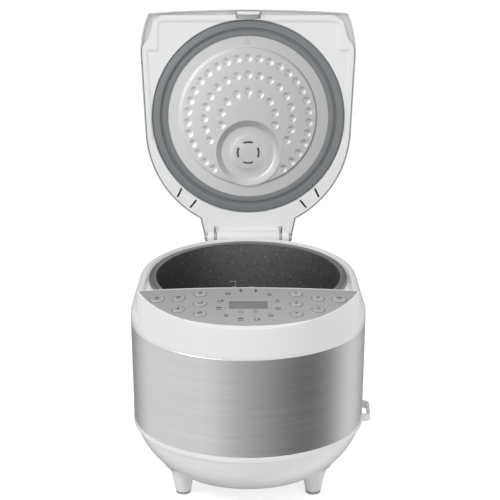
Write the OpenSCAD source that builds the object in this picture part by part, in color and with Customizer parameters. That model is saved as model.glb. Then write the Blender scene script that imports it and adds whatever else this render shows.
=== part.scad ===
// Rice cooker with a wide hinged lid, a lift-out pot and a raised control console.
// Frame: +Z up, floor at z = 0, front towards -Y. The plan sizes are measured from the pot's axis.

/* [Body] */
// Greatest width of the body
body_w = 284; // [278:1:290]
// Plan radius of the body's front
front_r = 150; // [146:1:156]
// Angle from straight ahead at which the front turns into its corners
front_turn = 40; // [36:1:44]
// Plan radius of the body's back
back_r = 136; // [134:1:139]
// Distance from the pot's axis forward to the widest line
belly_y = 84; // [80:1:90]
// Distance from the pot's axis back to the centre of the rear arc
back_y = 15; // [12:1:18]
// How far the foot of the steel band is drawn in from its top
band_taper = 2; // [0:0.5:4]
// Wall of the moulded housings
wall = 2.5; // [2:0.1:3.5]

/* [Heights] */
// Clearance under the bowl of the base
bowl_z = 24; // [18:1:30]
// Seam between the base and the steel band
base_seam_z = 95; // [90:1:102]
// Seam between the steel band and the collar
collar_seam_z = 220; // [214:1:224]
// Top of the collar's deck
deck_z = 239; // [236:1:244]

/* [Base] */
// How far the bowl draws in between its seam and its flat bottom
bowl_in = 68; // [60:1:76]
// Distance from the middle to each front foot
foot_x = 80; // [70:1:90]
// Distance of the front feet ahead of the pot's axis
foot_front_y = 113; // [100:1:120]
// Distance of the rear feet behind the pot's axis
foot_rear_y = 62; // [50:1:75]
// Radius of a foot at its tip
foot_r = 10; // [8:0.5:12]
// Thickness of the rubber foot pads
pad_t = 2; // [1.5:0.5:3]

/* [Pot] */
// Outer radius of the pot's wall
pot_r = 116; // [112:1:117]
// Outer radius of the pot's rim
pot_rim_r = 123; // [121:0.5:125]
// Outer height of the pot
pot_h = 138; // [130:1:141]
// Wall of the pot
pot_wall = 2; // [1.5:0.1:2.5]
// Thickness of the pot's rim
pot_rim_t = 3; // [2.5:0.1:3.5]
// Radius of the corner round the pot's bottom
pot_corner = 30; // [20:1:36]
// Free gap between the pot and the chamber round it
pot_gap = 3; // [2:0.1:4]

/* [Console] */
// Distance of the console's rear face ahead of the pot's axis
console_y = 141; // [140:0.5:143]
// Height of the console's rear edge
console_z = 281.4; // [276:0.2:286]
// Slope of the panel down to the front
panel_tilt = 16; // [12:0.5:18]
// Radius of the panel's crown across its width
panel_crown_r = 1250; // [1000:10:1600]
// Thickness of the panel
panel_t = 3; // [2.4:0.1:3.4]
// Margin of the collar in front of the panel
panel_margin = 6; // [4:0.5:8]
// Travel of the push buttons
key_travel = 0.8; // [0.4:0.1:1.2]
// Height of the push buttons above the panel
key_proud = 1.6; // [1.2:0.1:2.4]
// Width of the display window
window_w = 45; // [38:1:50]
// Depth of the display window
window_d = 14; // [11:0.5:16]

/* [Lid] */
// Angle through which the lid opens from closed
lid_open = 106.4; // [95:0.2:108]
// Distance of the hinge axis behind the rearmost point of the body
hinge_back = 9; // [7:0.5:13]
// Height of the hinge axis
hinge_z = 233.7; // [232:0.1:235]
// Half width of the lid's neck at the hinge
neck_x = 57; // [54:1:62]
// Height of the crown of the lid when shut
lid_top_z = 291; // [289:0.5:296]
// Radius of the lid's crown
lid_crown_r = 900; // [800:10:1100]
// Rounding of the lid's upper edge
lid_round = 12; // [8:1:15]
// Radius of the hinge pin
pin_r = 2.5; // [2:0.1:3]

/* [Inner lid] */
// Outer radius of the gasket
gasket_r = 126.5; // [125:0.5:127.5]
// Radius of the opening inside the gasket
gasket_bore_r = 105.5; // [103:0.5:107]
// Radius at which the inner lid steps towards the pot
dish_r = 90; // [86:1:94]
// Depth of that step
dish_depth = 2.5; // [1.5:0.1:3]
// Radius of a dimple at its foot
dimple_r = 4.7; // [4:0.1:5.2]
// Height of a dimple
dimple_h = 2; // [1.2:0.1:2.4]
// Distance from the pot's axis back to the centre of the steam cup
steam_y = 48; // [44:1:50]
// Radius of the mouth of the steam cup
steam_r = 43; // [38:1:45]

/* [Hidden] */

$fn = 120;
fine_fn = 720;      // facets of the shallow crowns
fit = 0.3;          // clearance between pieces that slot together
eps = 0.01;

white = [0.92, 0.92, 0.92];
pale = [0.86, 0.87, 0.88];
steel = [0.68, 0.69, 0.70];
silver = [0.62, 0.63, 0.65];
graphite = [0.25, 0.25, 0.27];
rubber = [0.44, 0.45, 0.46];
copper = [0.72, 0.45, 0.25];
board_green = [0.10, 0.38, 0.22];

// ---- plan outline of the body: front arc, two corner arcs, two flat sides, rear arc ----
half_w = body_w / 2;
corner_r = (half_w - front_r * sin(front_turn)) / (1 - sin(front_turn));
corner_c = [(front_r - corner_r) * sin(front_turn), -belly_y];
front_c = [0, -belly_y + (front_r - corner_r) * cos(front_turn)];
back_c = [0, back_y];
corner_to_back = corner_c - back_c;
side_turn = acos((back_r - corner_r) / norm(corner_to_back))
          - atan2(-corner_to_back.y, corner_to_back.x);
side_n = [cos(side_turn), sin(side_turn)];
side_end = back_c + back_r * side_n;
front_y = front_c.y - front_r;
rear_y = back_y + back_r;
hinge_y = rear_y + hinge_back;

function dir(a) = [cos(a), sin(a)];
function arc_pts(c, r, a0, a1, n, first = 0) = [for (i = [first:n]) c + r * dir(a0 + (a1 - a0) * i / n)];
function both_halves(p) = concat(p, [for (i = [len(p) - 2:-1:1]) [-p[i].x, p[i].y]]);
function at_z(plan, z) = [for (p = plan) [p.x, p.y, z]];
function outline(o) = both_halves(concat(
  arc_pts(front_c, front_r + o, -90, -90 + front_turn, 10),
  arc_pts(corner_c, corner_r + o, -90 + front_turn, side_turn, 15, 1),
  arc_pts(back_c, back_r + o, side_turn, 90, 24)));

// Skins a list of rings with the same number of points. A pole is a point that closes an end; without
// poles the last ring joins the first again.
function ring_faces(a, b, n) = [for (i = [0:n - 1]) let (j = (i + 1) % n)
  each [[a + i, b + i, a + j], [a + j, b + i, b + j]]];
module skin(rings, poles = []) {
  n = len(rings[0]);
  k = len(rings);
  looped = len(poles) == 0;
  walls = [for (r = [0:k - (looped ? 1 : 2)]) each ring_faces(r * n, ((r + 1) % k) * n, n)];
  caps = looped ? [] : concat(
    [for (i = [0:n - 1]) [k * n, i, (i + 1) % n]],
    [for (i = [0:n - 1]) [k * n + 1, (k - 1) * n + (i + 1) % n, (k - 1) * n + i]]);
  polyhedron(points = concat([for (r = rings) each r], poles), faces = concat(walls, caps), convexity = 6);
}

module tube(r_out, r_in, h) difference() {
  cylinder(r = r_out, h = h);
  translate([0, 0, -eps]) cylinder(r = r_in, h = h + 2 * eps);
}

module ring_of(n, r, a0 = 0) for (i = [0:n - 1])
  rotate([0, 0, a0 + 360 * i / n]) translate([r, 0, 0]) children();

module stadium(w, d) {
  for (s = [-1, 1]) translate([s * (w - d) / 2, 0]) circle(d = d);
  square([w - d, d], center = true);
}

module box(x0, x1, y0, y1, z0, z1) translate([x0, y0, z0]) cube([x1 - x0, y1 - y0, z1 - z0]);

// A helical spring would cost many faces, so springs are plain sleeves of the coil's size.
module coil_sleeve(r, wire, h) tube(r, r - wire, h);

// ---- derived heights ----
band_t = 1;
rim_z = deck_z + 1 + pot_rim_t;
pot_z = rim_z - pot_h;
liner_r = pot_r + pot_gap;
liner_t = 1;
deck_hole_r = liner_r + liner_t + 1;
deck_t = 3;
heater_top = pot_z - 0.4;
heater_t = 12;
heater_r = 92;
chamber_z = heater_top - heater_t - 10;
sensor_r = 15.5;
bracket_z = chamber_z - 16;
floor_t = 3;
boss_xy = [70, 62];

// Paddle holder: a flat loop on the right of the base.
loop_l = 44;
loop_h = 9;
loop_y = -60;
loop_z = base_seam_z - 10;
loop_out = half_w + 9;
loop_t = 3.5;
loop_round = 8;
loop_reach = 24;

// Everything is drawn round the pot's axis and moved so that the open cooker is centred in X and Y.
// The release button's front edge reaches furthest back when the lid is open.
button_y = -console_y + 29;
button_w = 46;
button_d = 18;
button_up = 2;
crown_y = -20;
button_z = lid_top_z - (button_y - crown_y) * (button_y - crown_y) / (2 * lid_crown_r);
open_back = hinge_y - (hinge_y - button_y + button_d / 2) * cos(lid_open)
          + (button_z + button_up - hinge_z) * sin(lid_open);
shift_y = -(front_y + open_back) / 2;
shift_x = (half_w - loop_out) / 2;
module place() translate([shift_x, shift_y, 0]) children();

// Swings a piece drawn with the lid shut into the open resting position.
module lid_place() place() translate([0, hinge_y, hinge_z]) rotate([-lid_open, 0, 0])
  translate([0, -hinge_y, -hinge_z]) children();

// ---- base ----
// The bowl's curve, from the lip at turn t = bowl_t0 to the flat bottom at t = 90. The inner side is drawn in
// by the wall's thickness at the lip and by the floor's thickness at the bottom.
bowl_top = base_seam_z + 5;
bowl_power = 1.2;
bowl_steps = 8;
lip_h = 7;
lip_out = 0.4;
bowl_t0 = asin(pow((bowl_top - base_seam_z + lip_h) / (bowl_top - bowl_z), 1 / bowl_power));
function bowl_ring(i, inside) = let (t = bowl_t0 + (90 - bowl_t0) * i / bowl_steps)
  at_z(outline(-band_taper - bowl_in * (1 - pow(cos(t), bowl_power)) - inside * wall * cos(t)),
       bowl_top - (bowl_top - bowl_z) * pow(sin(t), bowl_power) + inside * floor_t * sin(t));
base_outside = concat(
  [for (i = [bowl_steps:-1:0]) bowl_ring(i, 0)],
  [for (z = [base_seam_z - lip_h, base_seam_z]) at_z(outline(lip_out - band_taper), z)]);
// tongue behind the steel band
tongue_o = -band_t - 0.2;
tongue_h = 6;
base_inside = concat(
  [for (z = [base_seam_z, base_seam_z + tongue_h]) at_z(outline(tongue_o - band_taper), z)],
  [for (z = [base_seam_z + tongue_h, base_seam_z - lip_h]) at_z(outline(tongue_o - band_taper - wall), z)],
  [for (i = [0:2:bowl_steps]) bowl_ring(i, 1)]);
base_mid = [0, -30];
foot_spots = [for (x = [-foot_x, foot_x], y = [-foot_front_y, foot_rear_y]) [x, y]];
boss_spots = [for (x = [-boss_xy.x, boss_xy.x], y = [-boss_xy.y, boss_xy.y]) [x, y]];
post_r = 5;
screw_r = 1.5;
head_r = 3.4;
head_t = 2.2;
board_z = bowl_z + floor_t + 9;
board_spots = [for (x = [-48, 48], y = [10, 66]) [x, y]];
inlet_z = base_seam_z - 30;
inlet_face_y = rear_y + 1;
inlet_w = 48;
inlet_h = 24;
pod_x = 32;
pod_h = 40;

module base_shell() color(white) place() {
  difference() {
    union() {
      skin(concat(base_outside, base_inside), [concat(base_mid, bowl_z), concat(base_mid, bowl_z + floor_t)]);
      for (p = foot_spots) translate([p.x, p.y, pad_t])
        cylinder(r1 = foot_r, r2 = foot_r + 6, h = bowl_z + 9 - pad_t);
      for (p = boss_spots) translate([p.x, p.y, bowl_z]) cylinder(r = post_r, h = chamber_z - bowl_z);
      for (p = board_spots) translate([p.x, p.y, bowl_z]) cylinder(r = 3.5, h = board_z - bowl_z);
      // pod that holds the mains inlet upright on the curved back
      difference() {
        box(-pod_x, pod_x, liner_r + liner_t + 2, inlet_face_y, inlet_z - pod_h / 2, inlet_z + pod_h / 2);
        box(-pod_x + wall, pod_x - wall, rear_y - 60, inlet_face_y - wall,
            inlet_z - pod_h / 2 + wall, inlet_z + pod_h / 2 - wall);
      }
    }
    // the bowl's wall is open into the pod, and the inlet is let into its face
    box(-pod_x + wall, pod_x - wall, rear_y - 60, inlet_face_y - wall,
        inlet_z - pod_h / 2 + wall, inlet_z + pod_h / 2 - wall);
    box(-inlet_body_w / 2 - fit, inlet_body_w / 2 + fit, rear_y - 60, inlet_face_y + 1,
        inlet_z - inlet_body_h / 2 - fit, inlet_z + inlet_body_h / 2 + fit);
    for (p = boss_spots) translate([p.x, p.y, bowl_z - 1]) {
      cylinder(r = screw_r + 0.1, h = chamber_z - bowl_z + 2);
      cylinder(r = head_r + 0.4, h = head_t + 1);
    }
    // vents in the floor
    for (i = [-4:4]) translate([i * 9, -18, bowl_z - 1]) linear_extrude(floor_t + 2)
      rotate(90) stadium(36, 3);
  }
}

module foot_pads() color(graphite) place()
  for (p = foot_spots) translate([p.x, p.y, 0]) cylinder(r1 = foot_r - 1.2, r2 = foot_r - 0.6, h = pad_t);

module base_screws() color(steel) place()
  for (p = boss_spots) translate([p.x, p.y, bowl_z]) {
    cylinder(r = head_r, h = head_t);
    cylinder(r = screw_r, h = chamber_z - bowl_z - 4);
  }

// ---- steel band ----
module steel_band() color(steel) place() difference() {
  skin([
    at_z(outline(-band_taper), base_seam_z),
    at_z(outline(0), collar_seam_z),
    at_z(outline(-band_t), collar_seam_z),
    at_z(outline(-band_taper - band_t), base_seam_z)]);
  // the collar's hinge housing comes through at the back
  box(-housing_x - fit, housing_x + fit, 0, rear_y + 5, tower_z - housing_t - fit, collar_seam_z + 1);
}

// ---- collar with its console ----
shoulder_r = 8;
slot_x = 17;
hook_y = -console_y + 6.5;

module crown(o) place_panel() translate([0, 60, o - panel_crown_r]) rotate([90, 0, 0])
  cylinder(r = panel_crown_r, h = 260, $fn = fine_fn);

// Panel frame: x across, y up the slope with 0 at the rear edge, z out of the panel.
module place_panel() translate([0, -console_y, console_z]) rotate([panel_tilt, 0, 0]) children();

lens_r = 190;
module lens2d(o) intersection() {
  translate([0, front_y + panel_margin + lens_r]) circle(r = lens_r + o, $fn = 360);
  polygon(outline(-1.6 + o));
  translate([-half_w, front_y]) square([body_w, rim_back - front_y + o]);
}

// Height of the panel's surface over a point of the plan.
function crown_n(x) = sqrt(panel_crown_r * panel_crown_r - x * x) - panel_crown_r;
function panel_z(x, y) = console_z + (y + console_y) * tan(panel_tilt) + crown_n(x) / cos(panel_tilt);

function body_front(x, o) = x < (front_r + o) * sin(front_turn)
  ? front_c.y - sqrt(pow(front_r + o, 2) - x * x)
  : corner_c.y - sqrt(pow(corner_r + o, 2) - pow(x - corner_c.x, 2));
function lens_front(x, o) = max(front_y + panel_margin + lens_r - sqrt(pow(lens_r + o, 2) - x * x),
                                body_front(x, o - 1.6));
function half_at(o, y) = corner_c.x + sqrt(pow(corner_r + o, 2) - pow(y - corner_c.y, 2));

// A D-shaped ring of the console: the body's or the lens's front, and a straight back at y = back.
// Its height is z where that is given, or else the panel's surface less drop.
console_steps = 28;
function console_ring(lens, o, back, drop, z = 0) =
  let (w = half_at(lens ? o - 1.6 : o, back),
       xs = [for (i = [0:console_steps]) w * sin(-90 + 180 * i / console_steps)],
       plan = concat([for (x = xs) [x, min(back, lens ? lens_front(abs(x), o) : body_front(abs(x), o))]],
                     [for (i = [console_steps - 1:-1:1]) [xs[i], back]]))
  [for (p = plan) [p.x, p.y, z > 0 ? z : panel_z(p.x, p.y) - drop]];

edge_r = 1.4;
rim_back = -console_y - 1.2;
module console_block() skin([
  console_ring(false, 0, -console_y, 0, collar_seam_z),
  console_ring(false, 0, -console_y, edge_r),
  console_ring(false, -0.3 * edge_r, -console_y - 0.1, 0.3 * edge_r),
  console_ring(false, -edge_r, -console_y - 0.3, 0),
  console_ring(true, 0, rim_back, 0),
  console_ring(true, 0, rim_back, panel_t / cos(panel_tilt)),
  console_ring(true, -3.5, -console_y - 4, panel_t / cos(panel_tilt)),
  console_ring(true, -3.5, -console_y - 4, 0, collar_seam_z)]);

// The shouldered wall and the deck are one ring. Its front run is tucked into the console's wall.
tuck = 2;
console_turn = asin((belly_y - console_y) / corner_r);
function collar_plan(o) = both_halves(concat(
  arc_pts(front_c, front_r + o - tuck, -90, -90 + front_turn, 8),
  arc_pts(corner_c, corner_r + o - tuck, -90 + front_turn, console_turn - 1, 5, 1),
  arc_pts(corner_c, corner_r + o, console_turn - 0.2, side_turn, 14),
  arc_pts(back_c, back_r + o, side_turn, 90, 24)));
module collar_ring() skin(concat(
  [at_z(collar_plan(tongue_o), collar_seam_z - tongue_h), at_z(collar_plan(tongue_o), collar_seam_z),
   at_z(collar_plan(0), collar_seam_z)],
  [for (t = [0:15:90]) at_z(collar_plan(-shoulder_r * (1 - cos(t))), deck_z - shoulder_r * (1 - sin(t)))],
  [at_z([for (p = collar_plan(0)) (deck_hole_r - 2) * p / norm(p)], deck_z),
   at_z([for (p = collar_plan(0)) (deck_hole_r - 2) * p / norm(p)], deck_z - deck_t),
   at_z(collar_plan(tongue_o - wall), deck_z - deck_t),
   at_z(collar_plan(tongue_o - wall), collar_seam_z - tongue_h)]));

knuckle_r = 9;
ear_in = 44.5;
ear_out = 53.5;
tower_z = hinge_z - 20;
tower_back = hinge_y + 12;
cup_w = 64;
cup_d = 24;
cup_h = 34;
cup_wall = 1.6;
rail_w = 2.4;
cup_front_y = rear_y + 1.5;
cup_top = tower_z - 11;
housing_x = neck_x + 3;
housing_t = 10;

module hinge_tower() difference() {
  union() {
    box(-housing_x, housing_x, rear_y - 19, tower_back, tower_z - housing_t, tower_z);
    box(-30, 30, rear_y - 10, rear_y - 4, tower_z - housing_t, deck_z - 1);
    for (s = [-1, 1]) translate([s > 0 ? ear_in : -ear_out, 0, 0]) {
      box(0, ear_out - ear_in, hinge_y - knuckle_r, hinge_y + knuckle_r, tower_z - 1, hinge_z);
      translate([0, hinge_y, hinge_z]) rotate([0, 90, 0]) cylinder(r = knuckle_r, h = ear_out - ear_in);
    }
    // rails that carry the dew cup by its side lips
    for (s = [0, 1]) mirror([s, 0, 0]) {
      box(cup_w / 2 + fit, cup_w / 2 + 2 * (rail_w + fit), rear_y - 2, tower_back - 2,
          cup_top - 3, tower_z - 9);
    }
  }
  translate([-80, hinge_y, hinge_z]) rotate([0, 90, 0]) cylinder(r = pin_r + 0.05, h = 160);
  for (s = [0, 1]) mirror([s, 0, 0])
    box(0, cup_w / 2 + rail_w + fit + 0.2, rear_y + 0.8, tower_back, cup_top - fit, cup_top + 1.8);
  for (x = [-30, 30], y = [-6, 6]) translate([x, hinge_y + y, tower_z - 8]) cylinder(r = 1.5, h = 12);
}

module upper_collar() color(white) place() {
  difference() {
    union() {
      collar_ring();
      console_block();
    }
    translate([0, 0, deck_z - 10]) cylinder(r = deck_hole_r, h = 20);
    translate([0, hook_y, 0]) box(-slot_x, slot_x, -4, 7, deck_z - 10, deck_z + 5);
    // room in the console's ledge for the flanges of the keys
    place_panel() for (s = [-1, 1], i = [0, 3, 5]) at_key(s, key_spots[i])
      translate([0, 0, -panel_t - 2 - key_travel - fit]) linear_extrude(panel_t + 2)
        key_plan(key_spots[i], key_flange + fit);
    // pocket for the lid's neck
    box(-neck_x - 4, neck_x + 4, hinge_y - knuckle_r - 4, rear_y + 5, tower_z, deck_z + 1);
  }
  hinge_tower();
}

// ---- control panel ----
// Columns and rows of the keys, as shares of the console's half width and depth
console_w = half_at(0, -console_y);
console_d = -console_y - front_y;
key_columns = console_w * [0.4356, 0.634, 0.8284];
key_rows = -console_d * [[0.145, 0.3955, 0.646], [0.2373, 0.514], [0.2175]];
key_spots = [for (c = [0:2]) for (v = key_rows[c]) [key_columns[c], v, c == 2 ? 1 : 0]];
key_w = 12.5;
key_d = 9.5;
big_key_w = 15;
big_key_d = 12.5;
key_flange = 1.2;
window_y = -0.448 * console_d;
board_drop = 14;
board_t = 1.6;
panel_post_spots = [for (s = [-1, 1], p = [[0.311, 0.29], [0.731, 0.396]])
  [s * p.x * console_w, -p.y * console_d]];

function key_lean(x) = asin(x / panel_crown_r);

module at_key(side, k) translate([side * k.x, k.y, crown_n(k.x)])
  rotate([0, side * key_lean(k.x), 0]) children();

module key_plan(k, o) stadium((k.z > 0 ? big_key_w : key_w) + 2 * o, (k.z > 0 ? big_key_d : key_d) + 2 * o);

module key(side, i) color(pale) place() place_panel() at_key(side, key_spots[i]) {
  translate([0, 0, -panel_t - 1]) linear_extrude(panel_t + key_proud) key_plan(key_spots[i], 0);
  translate([0, 0, key_proud - 1 - eps]) linear_extrude(0.5) key_plan(key_spots[i], -0.7);
  translate([0, 0, -panel_t - 2]) linear_extrude(1.4 - key_travel / 4) key_plan(key_spots[i], key_flange);
}

module key_left_1() key(-1, 0);
module key_left_2() key(-1, 1);
module key_left_3() key(-1, 2);
module key_left_4() key(-1, 3);
module key_left_5() key(-1, 4);
module key_left_6() key(-1, 5);
module key_right_1() key(1, 0);
module key_right_2() key(1, 1);
module key_right_3() key(1, 2);
module key_right_4() key(1, 3);
module key_right_5() key(1, 4);
module key_right_6() key(1, 5);

module control_panel() color(silver) place() difference() {
  union() {
    intersection() {
      difference() {
        crown(0);
        crown(-panel_t);
      }
      translate([0, 0, deck_z]) linear_extrude(80) lens2d(-fit);
    }
    place_panel() for (p = panel_post_spots) translate([p.x, p.y, -board_drop])
      cylinder(r = 2.5, h = board_drop + crown_n(p.x) - panel_t / 2);
  }
  place_panel() {
    for (s = [-1, 1], k = key_spots) at_key(s, k) translate([0, 0, -panel_t - 1])
      linear_extrude(panel_t + 4) key_plan(k, fit);
    translate([0, window_y, -panel_t - 1]) linear_extrude(panel_t + 4)
      square([window_w - 4, window_d - 3], center = true);
    translate([0, window_y, -1.6]) linear_extrude(4) square([window_w, window_d], center = true);
  }
}

module display_window() color(graphite) place() place_panel()
  translate([0, window_y, -1.6]) linear_extrude(1.5)
  square([window_w - 2 * fit, window_d - 2 * fit], center = true);

module control_board() color(board_green) place() intersection() {
  place_panel() translate([-half_w, -90, -board_drop - board_t]) cube([body_w, 84, board_t]);
  translate([0, 0, collar_seam_z - 20]) linear_extrude(120) lens2d(-5);
}

module display_module() color(pale) place() place_panel() translate([0, window_y, -board_drop])
  linear_extrude(board_drop - panel_t - 0.2) square([window_w - 6, window_d - 5], center = true);

switch_w = 5;
module tact_switches() color(graphite) place() place_panel() for (s = [-1, 1], k = key_spots)
  translate([s * k.x, k.y, -board_drop]) {
    top = board_drop + crown_n(k.x) - panel_t - 2 - key_travel - 0.6;
    translate([-switch_w / 2, -switch_w / 2, 0]) cube([switch_w, switch_w, top - 0.8]);
    cylinder(r = 1.6, h = top);
  }

// ---- chamber, heater and sensor ----
module chamber_liner() color(steel) place() difference() {
  union() {
    translate([0, 0, chamber_z]) cylinder(r = liner_r + liner_t, h = deck_z - chamber_z + 0.5);
    translate([0, 0, deck_z]) cylinder(r = deck_hole_r + 3, h = 1);
  }
  translate([0, 0, chamber_z + liner_t]) cylinder(r = liner_r, h = 200);
  translate([0, 0, chamber_z - 1]) cylinder(r = 48, h = 10);
  for (p = boss_spots) translate([p.x, p.y, chamber_z - 1]) cylinder(r = screw_r, h = 10);
}

post_spots_r = 78;
module heater_posts() color(steel) place() ring_of(3, post_spots_r, 90)
  translate([0, 0, chamber_z + liner_t]) cylinder(r = 5, h = heater_top - heater_t - chamber_z - liner_t);

element_r = 62;
element_wire = 4;
module heater_plate() color(steel) place() difference() {
  translate([0, 0, heater_top - heater_t]) rotate_extrude() difference() {
    union() {
      translate([sensor_r + 2.5, 0]) square([heater_r - sensor_r - 2.5, heater_t - 3]);
      translate([sensor_r + 2.5, 0]) square([heater_r - 3 - sensor_r - 2.5, heater_t]);
      translate([heater_r - 3, heater_t - 3]) circle(r = 3);
    }
    translate([element_r, 0]) circle(r = element_wire);
  }
}

module heater_element() color(graphite) place() translate([0, 0, heater_top - heater_t]) {
  rotate([0, 0, 110]) rotate_extrude(angle = 320) translate([element_r, 0]) circle(r = element_wire);
}

module side_heater() color(silver) place() translate([0, 0, pot_z + 0.36 * pot_h])
  tube(liner_r + liner_t + 1.4, liner_r + liner_t, 0.18 * pot_h);

module thermal_fuse() color(pale) place() translate([-34, -12, heater_top - heater_t - 7]) {
  rotate([90, 0, 0]) cylinder(r = 3, h = 18, center = true);
  box(-7, 7, -3, 3, 2, 7);
}

module sensor_bracket() color(steel) place() {
  difference() {
    union() {
      box(-14, 14, -58, 58, bracket_z, bracket_z + 1.5);
      for (s = [0, 1]) mirror([0, s, 0]) box(-14, 14, 56.5, 58, bracket_z, chamber_z);
      for (s = [0, 1]) mirror([0, s, 0]) box(-14, 14, 50, 58, chamber_z - 1.5, chamber_z);
    }
    translate([0, 0, bracket_z - 1]) cylinder(r = 5.4, h = 5);
  }
}

sensor_skirt = 12;
module sensor_spring() color(steel) place() translate([0, 0, bracket_z + 1.5])
  coil_sleeve(9, 1.4, pot_z - sensor_skirt - bracket_z - 1.5);

module sensor_cap() color(steel) place() {
  translate([0, 0, pot_z - sensor_skirt]) cylinder(r = sensor_r, h = sensor_skirt - 1);
  translate([0, 0, pot_z - 1 - eps]) cylinder(r1 = sensor_r, r2 = sensor_r - 1, h = 1 + eps);
  translate([0, 0, bracket_z - 3]) cylinder(r = 5, h = pot_z - sensor_skirt - bracket_z + 3.5);
}

// ---- mains parts ----
inlet_body_w = 28;
inlet_body_h = 20;
inlet_depth = 20;
module power_inlet() color(graphite) place() difference() {
  union() {
    translate([0, inlet_face_y, inlet_z]) rotate([-90, 0, 0]) linear_extrude(2.5) stadium(inlet_w, inlet_h);
    box(-inlet_body_w / 2, inlet_body_w / 2, inlet_face_y - inlet_depth, inlet_face_y + 1,
        inlet_z - inlet_body_h / 2, inlet_z + inlet_body_h / 2);
  }
  box(-inlet_body_w / 2 + 2, inlet_body_w / 2 - 2, inlet_face_y - inlet_depth + 3, inlet_face_y + 5,
      inlet_z - inlet_body_h / 2 + 2, inlet_z + inlet_body_h / 2 - 2);
  for (p = pin_spots) translate([p.x, 0, inlet_z + p.y]) box(-1, 1, inlet_face_y - inlet_depth - 1,
      inlet_face_y - 10, -2, 2);
}

pin_spots = [[-7, -1.5], [0, 2.5], [7, -1.5]];
module inlet_pins() color(copper) place() for (p = pin_spots) translate([p.x, 0, inlet_z + p.y])
  box(-1, 1, inlet_face_y - inlet_depth - 5, inlet_face_y - 4, -2, 2);

module power_board() color(board_green) place() {
  box(-56, 56, 2, 74, board_z, board_z + board_t);
  // its components fill half of the room under the sensor's bracket
  h = (bracket_z - board_z - board_t) / 2;
  translate([0, 0, board_z + board_t - eps]) {
    box(-46, -24, 30, 56, 0, h);
    box(-16, 14, 40, 66, 0, 0.9 * h);
    box(22, 50, 8, 24, 0, 0.7 * h);
    for (x = [-8, 4]) translate([x, 18, 0]) cylinder(r = 5, h = 0.9 * h);
    translate([36, 44, 0]) cylinder(r = 7, h = h);
  }
}

// ---- paddle holder on the right of the base ----
module loop2d(o) {
  r = loop_round + o;
  translate([loop_out - loop_reach, loop_y - loop_l / 2 - o]) square([loop_reach + o - r, loop_l + 2 * o]);
  translate([loop_out - loop_reach, loop_y - loop_l / 2 - o + r])
    square([loop_reach + o, loop_l + 2 * (o - r)]);
  for (s = [-1, 1]) translate([loop_out + o - r, loop_y + s * (loop_l / 2 + o - r)]) circle(r = r);
}

module paddle_holder() color(white) place() difference() {
  translate([0, 0, loop_z - loop_h / 2]) linear_extrude(loop_h) difference() {
    loop2d(0);
    loop2d(-loop_t);
  }
  translate([0, 0, base_seam_z - lip_h]) linear_extrude(lip_h) polygon(outline(lip_out - band_taper));
  translate([0, 0, bowl_z]) linear_extrude(base_seam_z - lip_h - bowl_z + eps)
    polygon(outline(-band_taper - 2));
}

// ---- pot ----
module cup2d(r, h, c) intersection() {
  union() {
    square([r - c, h]);
    translate([0, c]) square([r, h - c]);
    translate([r - c, c]) circle(r = c);
  }
  square([r, h]);
}

module pot() color(graphite) place() translate([0, 0, pot_z]) rotate_extrude() {
  difference() {
    cup2d(pot_r, pot_h, pot_corner);
    translate([0, pot_wall]) cup2d(pot_r - pot_wall, pot_h, pot_corner - pot_wall);
  }
  translate([pot_r - pot_wall, pot_h - pot_rim_t])
    square([pot_rim_r - pot_r + pot_wall - pot_rim_t / 2, pot_rim_t]);
  translate([pot_rim_r - pot_rim_t / 2, pot_h - pot_rim_t / 2]) circle(d = pot_rim_t);
}

// ---- dew cup at the back ----
module dew_cup() color(pale) place() difference() {
  union() {
    box(-cup_w / 2, cup_w / 2, cup_front_y, cup_front_y + cup_d, cup_top - cup_h, cup_top + 1.2);
    box(-cup_w / 2 - rail_w, cup_w / 2 + rail_w, cup_front_y, tower_back, cup_top, cup_top + 1.2);
  }
  box(-cup_w / 2 + cup_wall, cup_w / 2 - cup_wall, cup_front_y + cup_wall, cup_front_y + cup_d - cup_wall,
      cup_top - cup_h + cup_wall, cup_top + 5);
}

// ---- hinge ----
bracket_x = 43.8;
bracket_t = 2;
module hinge_bracket() color(steel) place() difference() {
  union() {
    box(-bracket_x, bracket_x, hinge_y - 9, hinge_y + 9, tower_z, tower_z + bracket_t);
    for (s = [0, 1]) mirror([s, 0, 0]) {
      box(bracket_x - bracket_t, bracket_x, hinge_y - 7, hinge_y + 7, tower_z, hinge_z);
      translate([bracket_x - bracket_t, hinge_y, hinge_z]) rotate([0, 90, 0]) cylinder(r = 7, h = bracket_t);
    }
  }
  translate([-80, hinge_y, hinge_z]) rotate([0, 90, 0]) cylinder(r = pin_r + 0.05, h = 160);
  for (x = [-30, 30], y = [-6, 6]) translate([x, hinge_y + y, tower_z - 1]) cylinder(r = 1.6, h = 5);
}

module hinge_screws() color(steel) place() for (x = [-30, 30], y = [-6, 6]) translate([x, hinge_y + y, 0]) {
  translate([0, 0, tower_z + bracket_t]) cylinder(r = 2.6, h = 1.6);
  translate([0, 0, tower_z - 7]) cylinder(r = 1.4, h = 7 + bracket_t + 0.5);
}

module hinge_pin() color(steel) place() translate([-neck_x - 1, hinge_y, hinge_z]) rotate([0, 90, 0])
  cylinder(r = pin_r, h = 2 * neck_x + 2);

spring_x = 14;
module hinge_spring() color(steel) place() translate([-spring_x + 1, hinge_y, hinge_z]) rotate([0, 90, 0])
  coil_sleeve(6, 1.8, 2 * spring_x - 2);

// ---- lid: all of it is drawn shut and swung open by lid_place() ----
lid_gap = 1;
lid_z = deck_z + 1.5;
face_z = deck_z + 8;
liner_plate_t = 2.5;
lid_front = -console_y + lid_gap;
barrel_x = 41;
barrel_r = 9;

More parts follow.
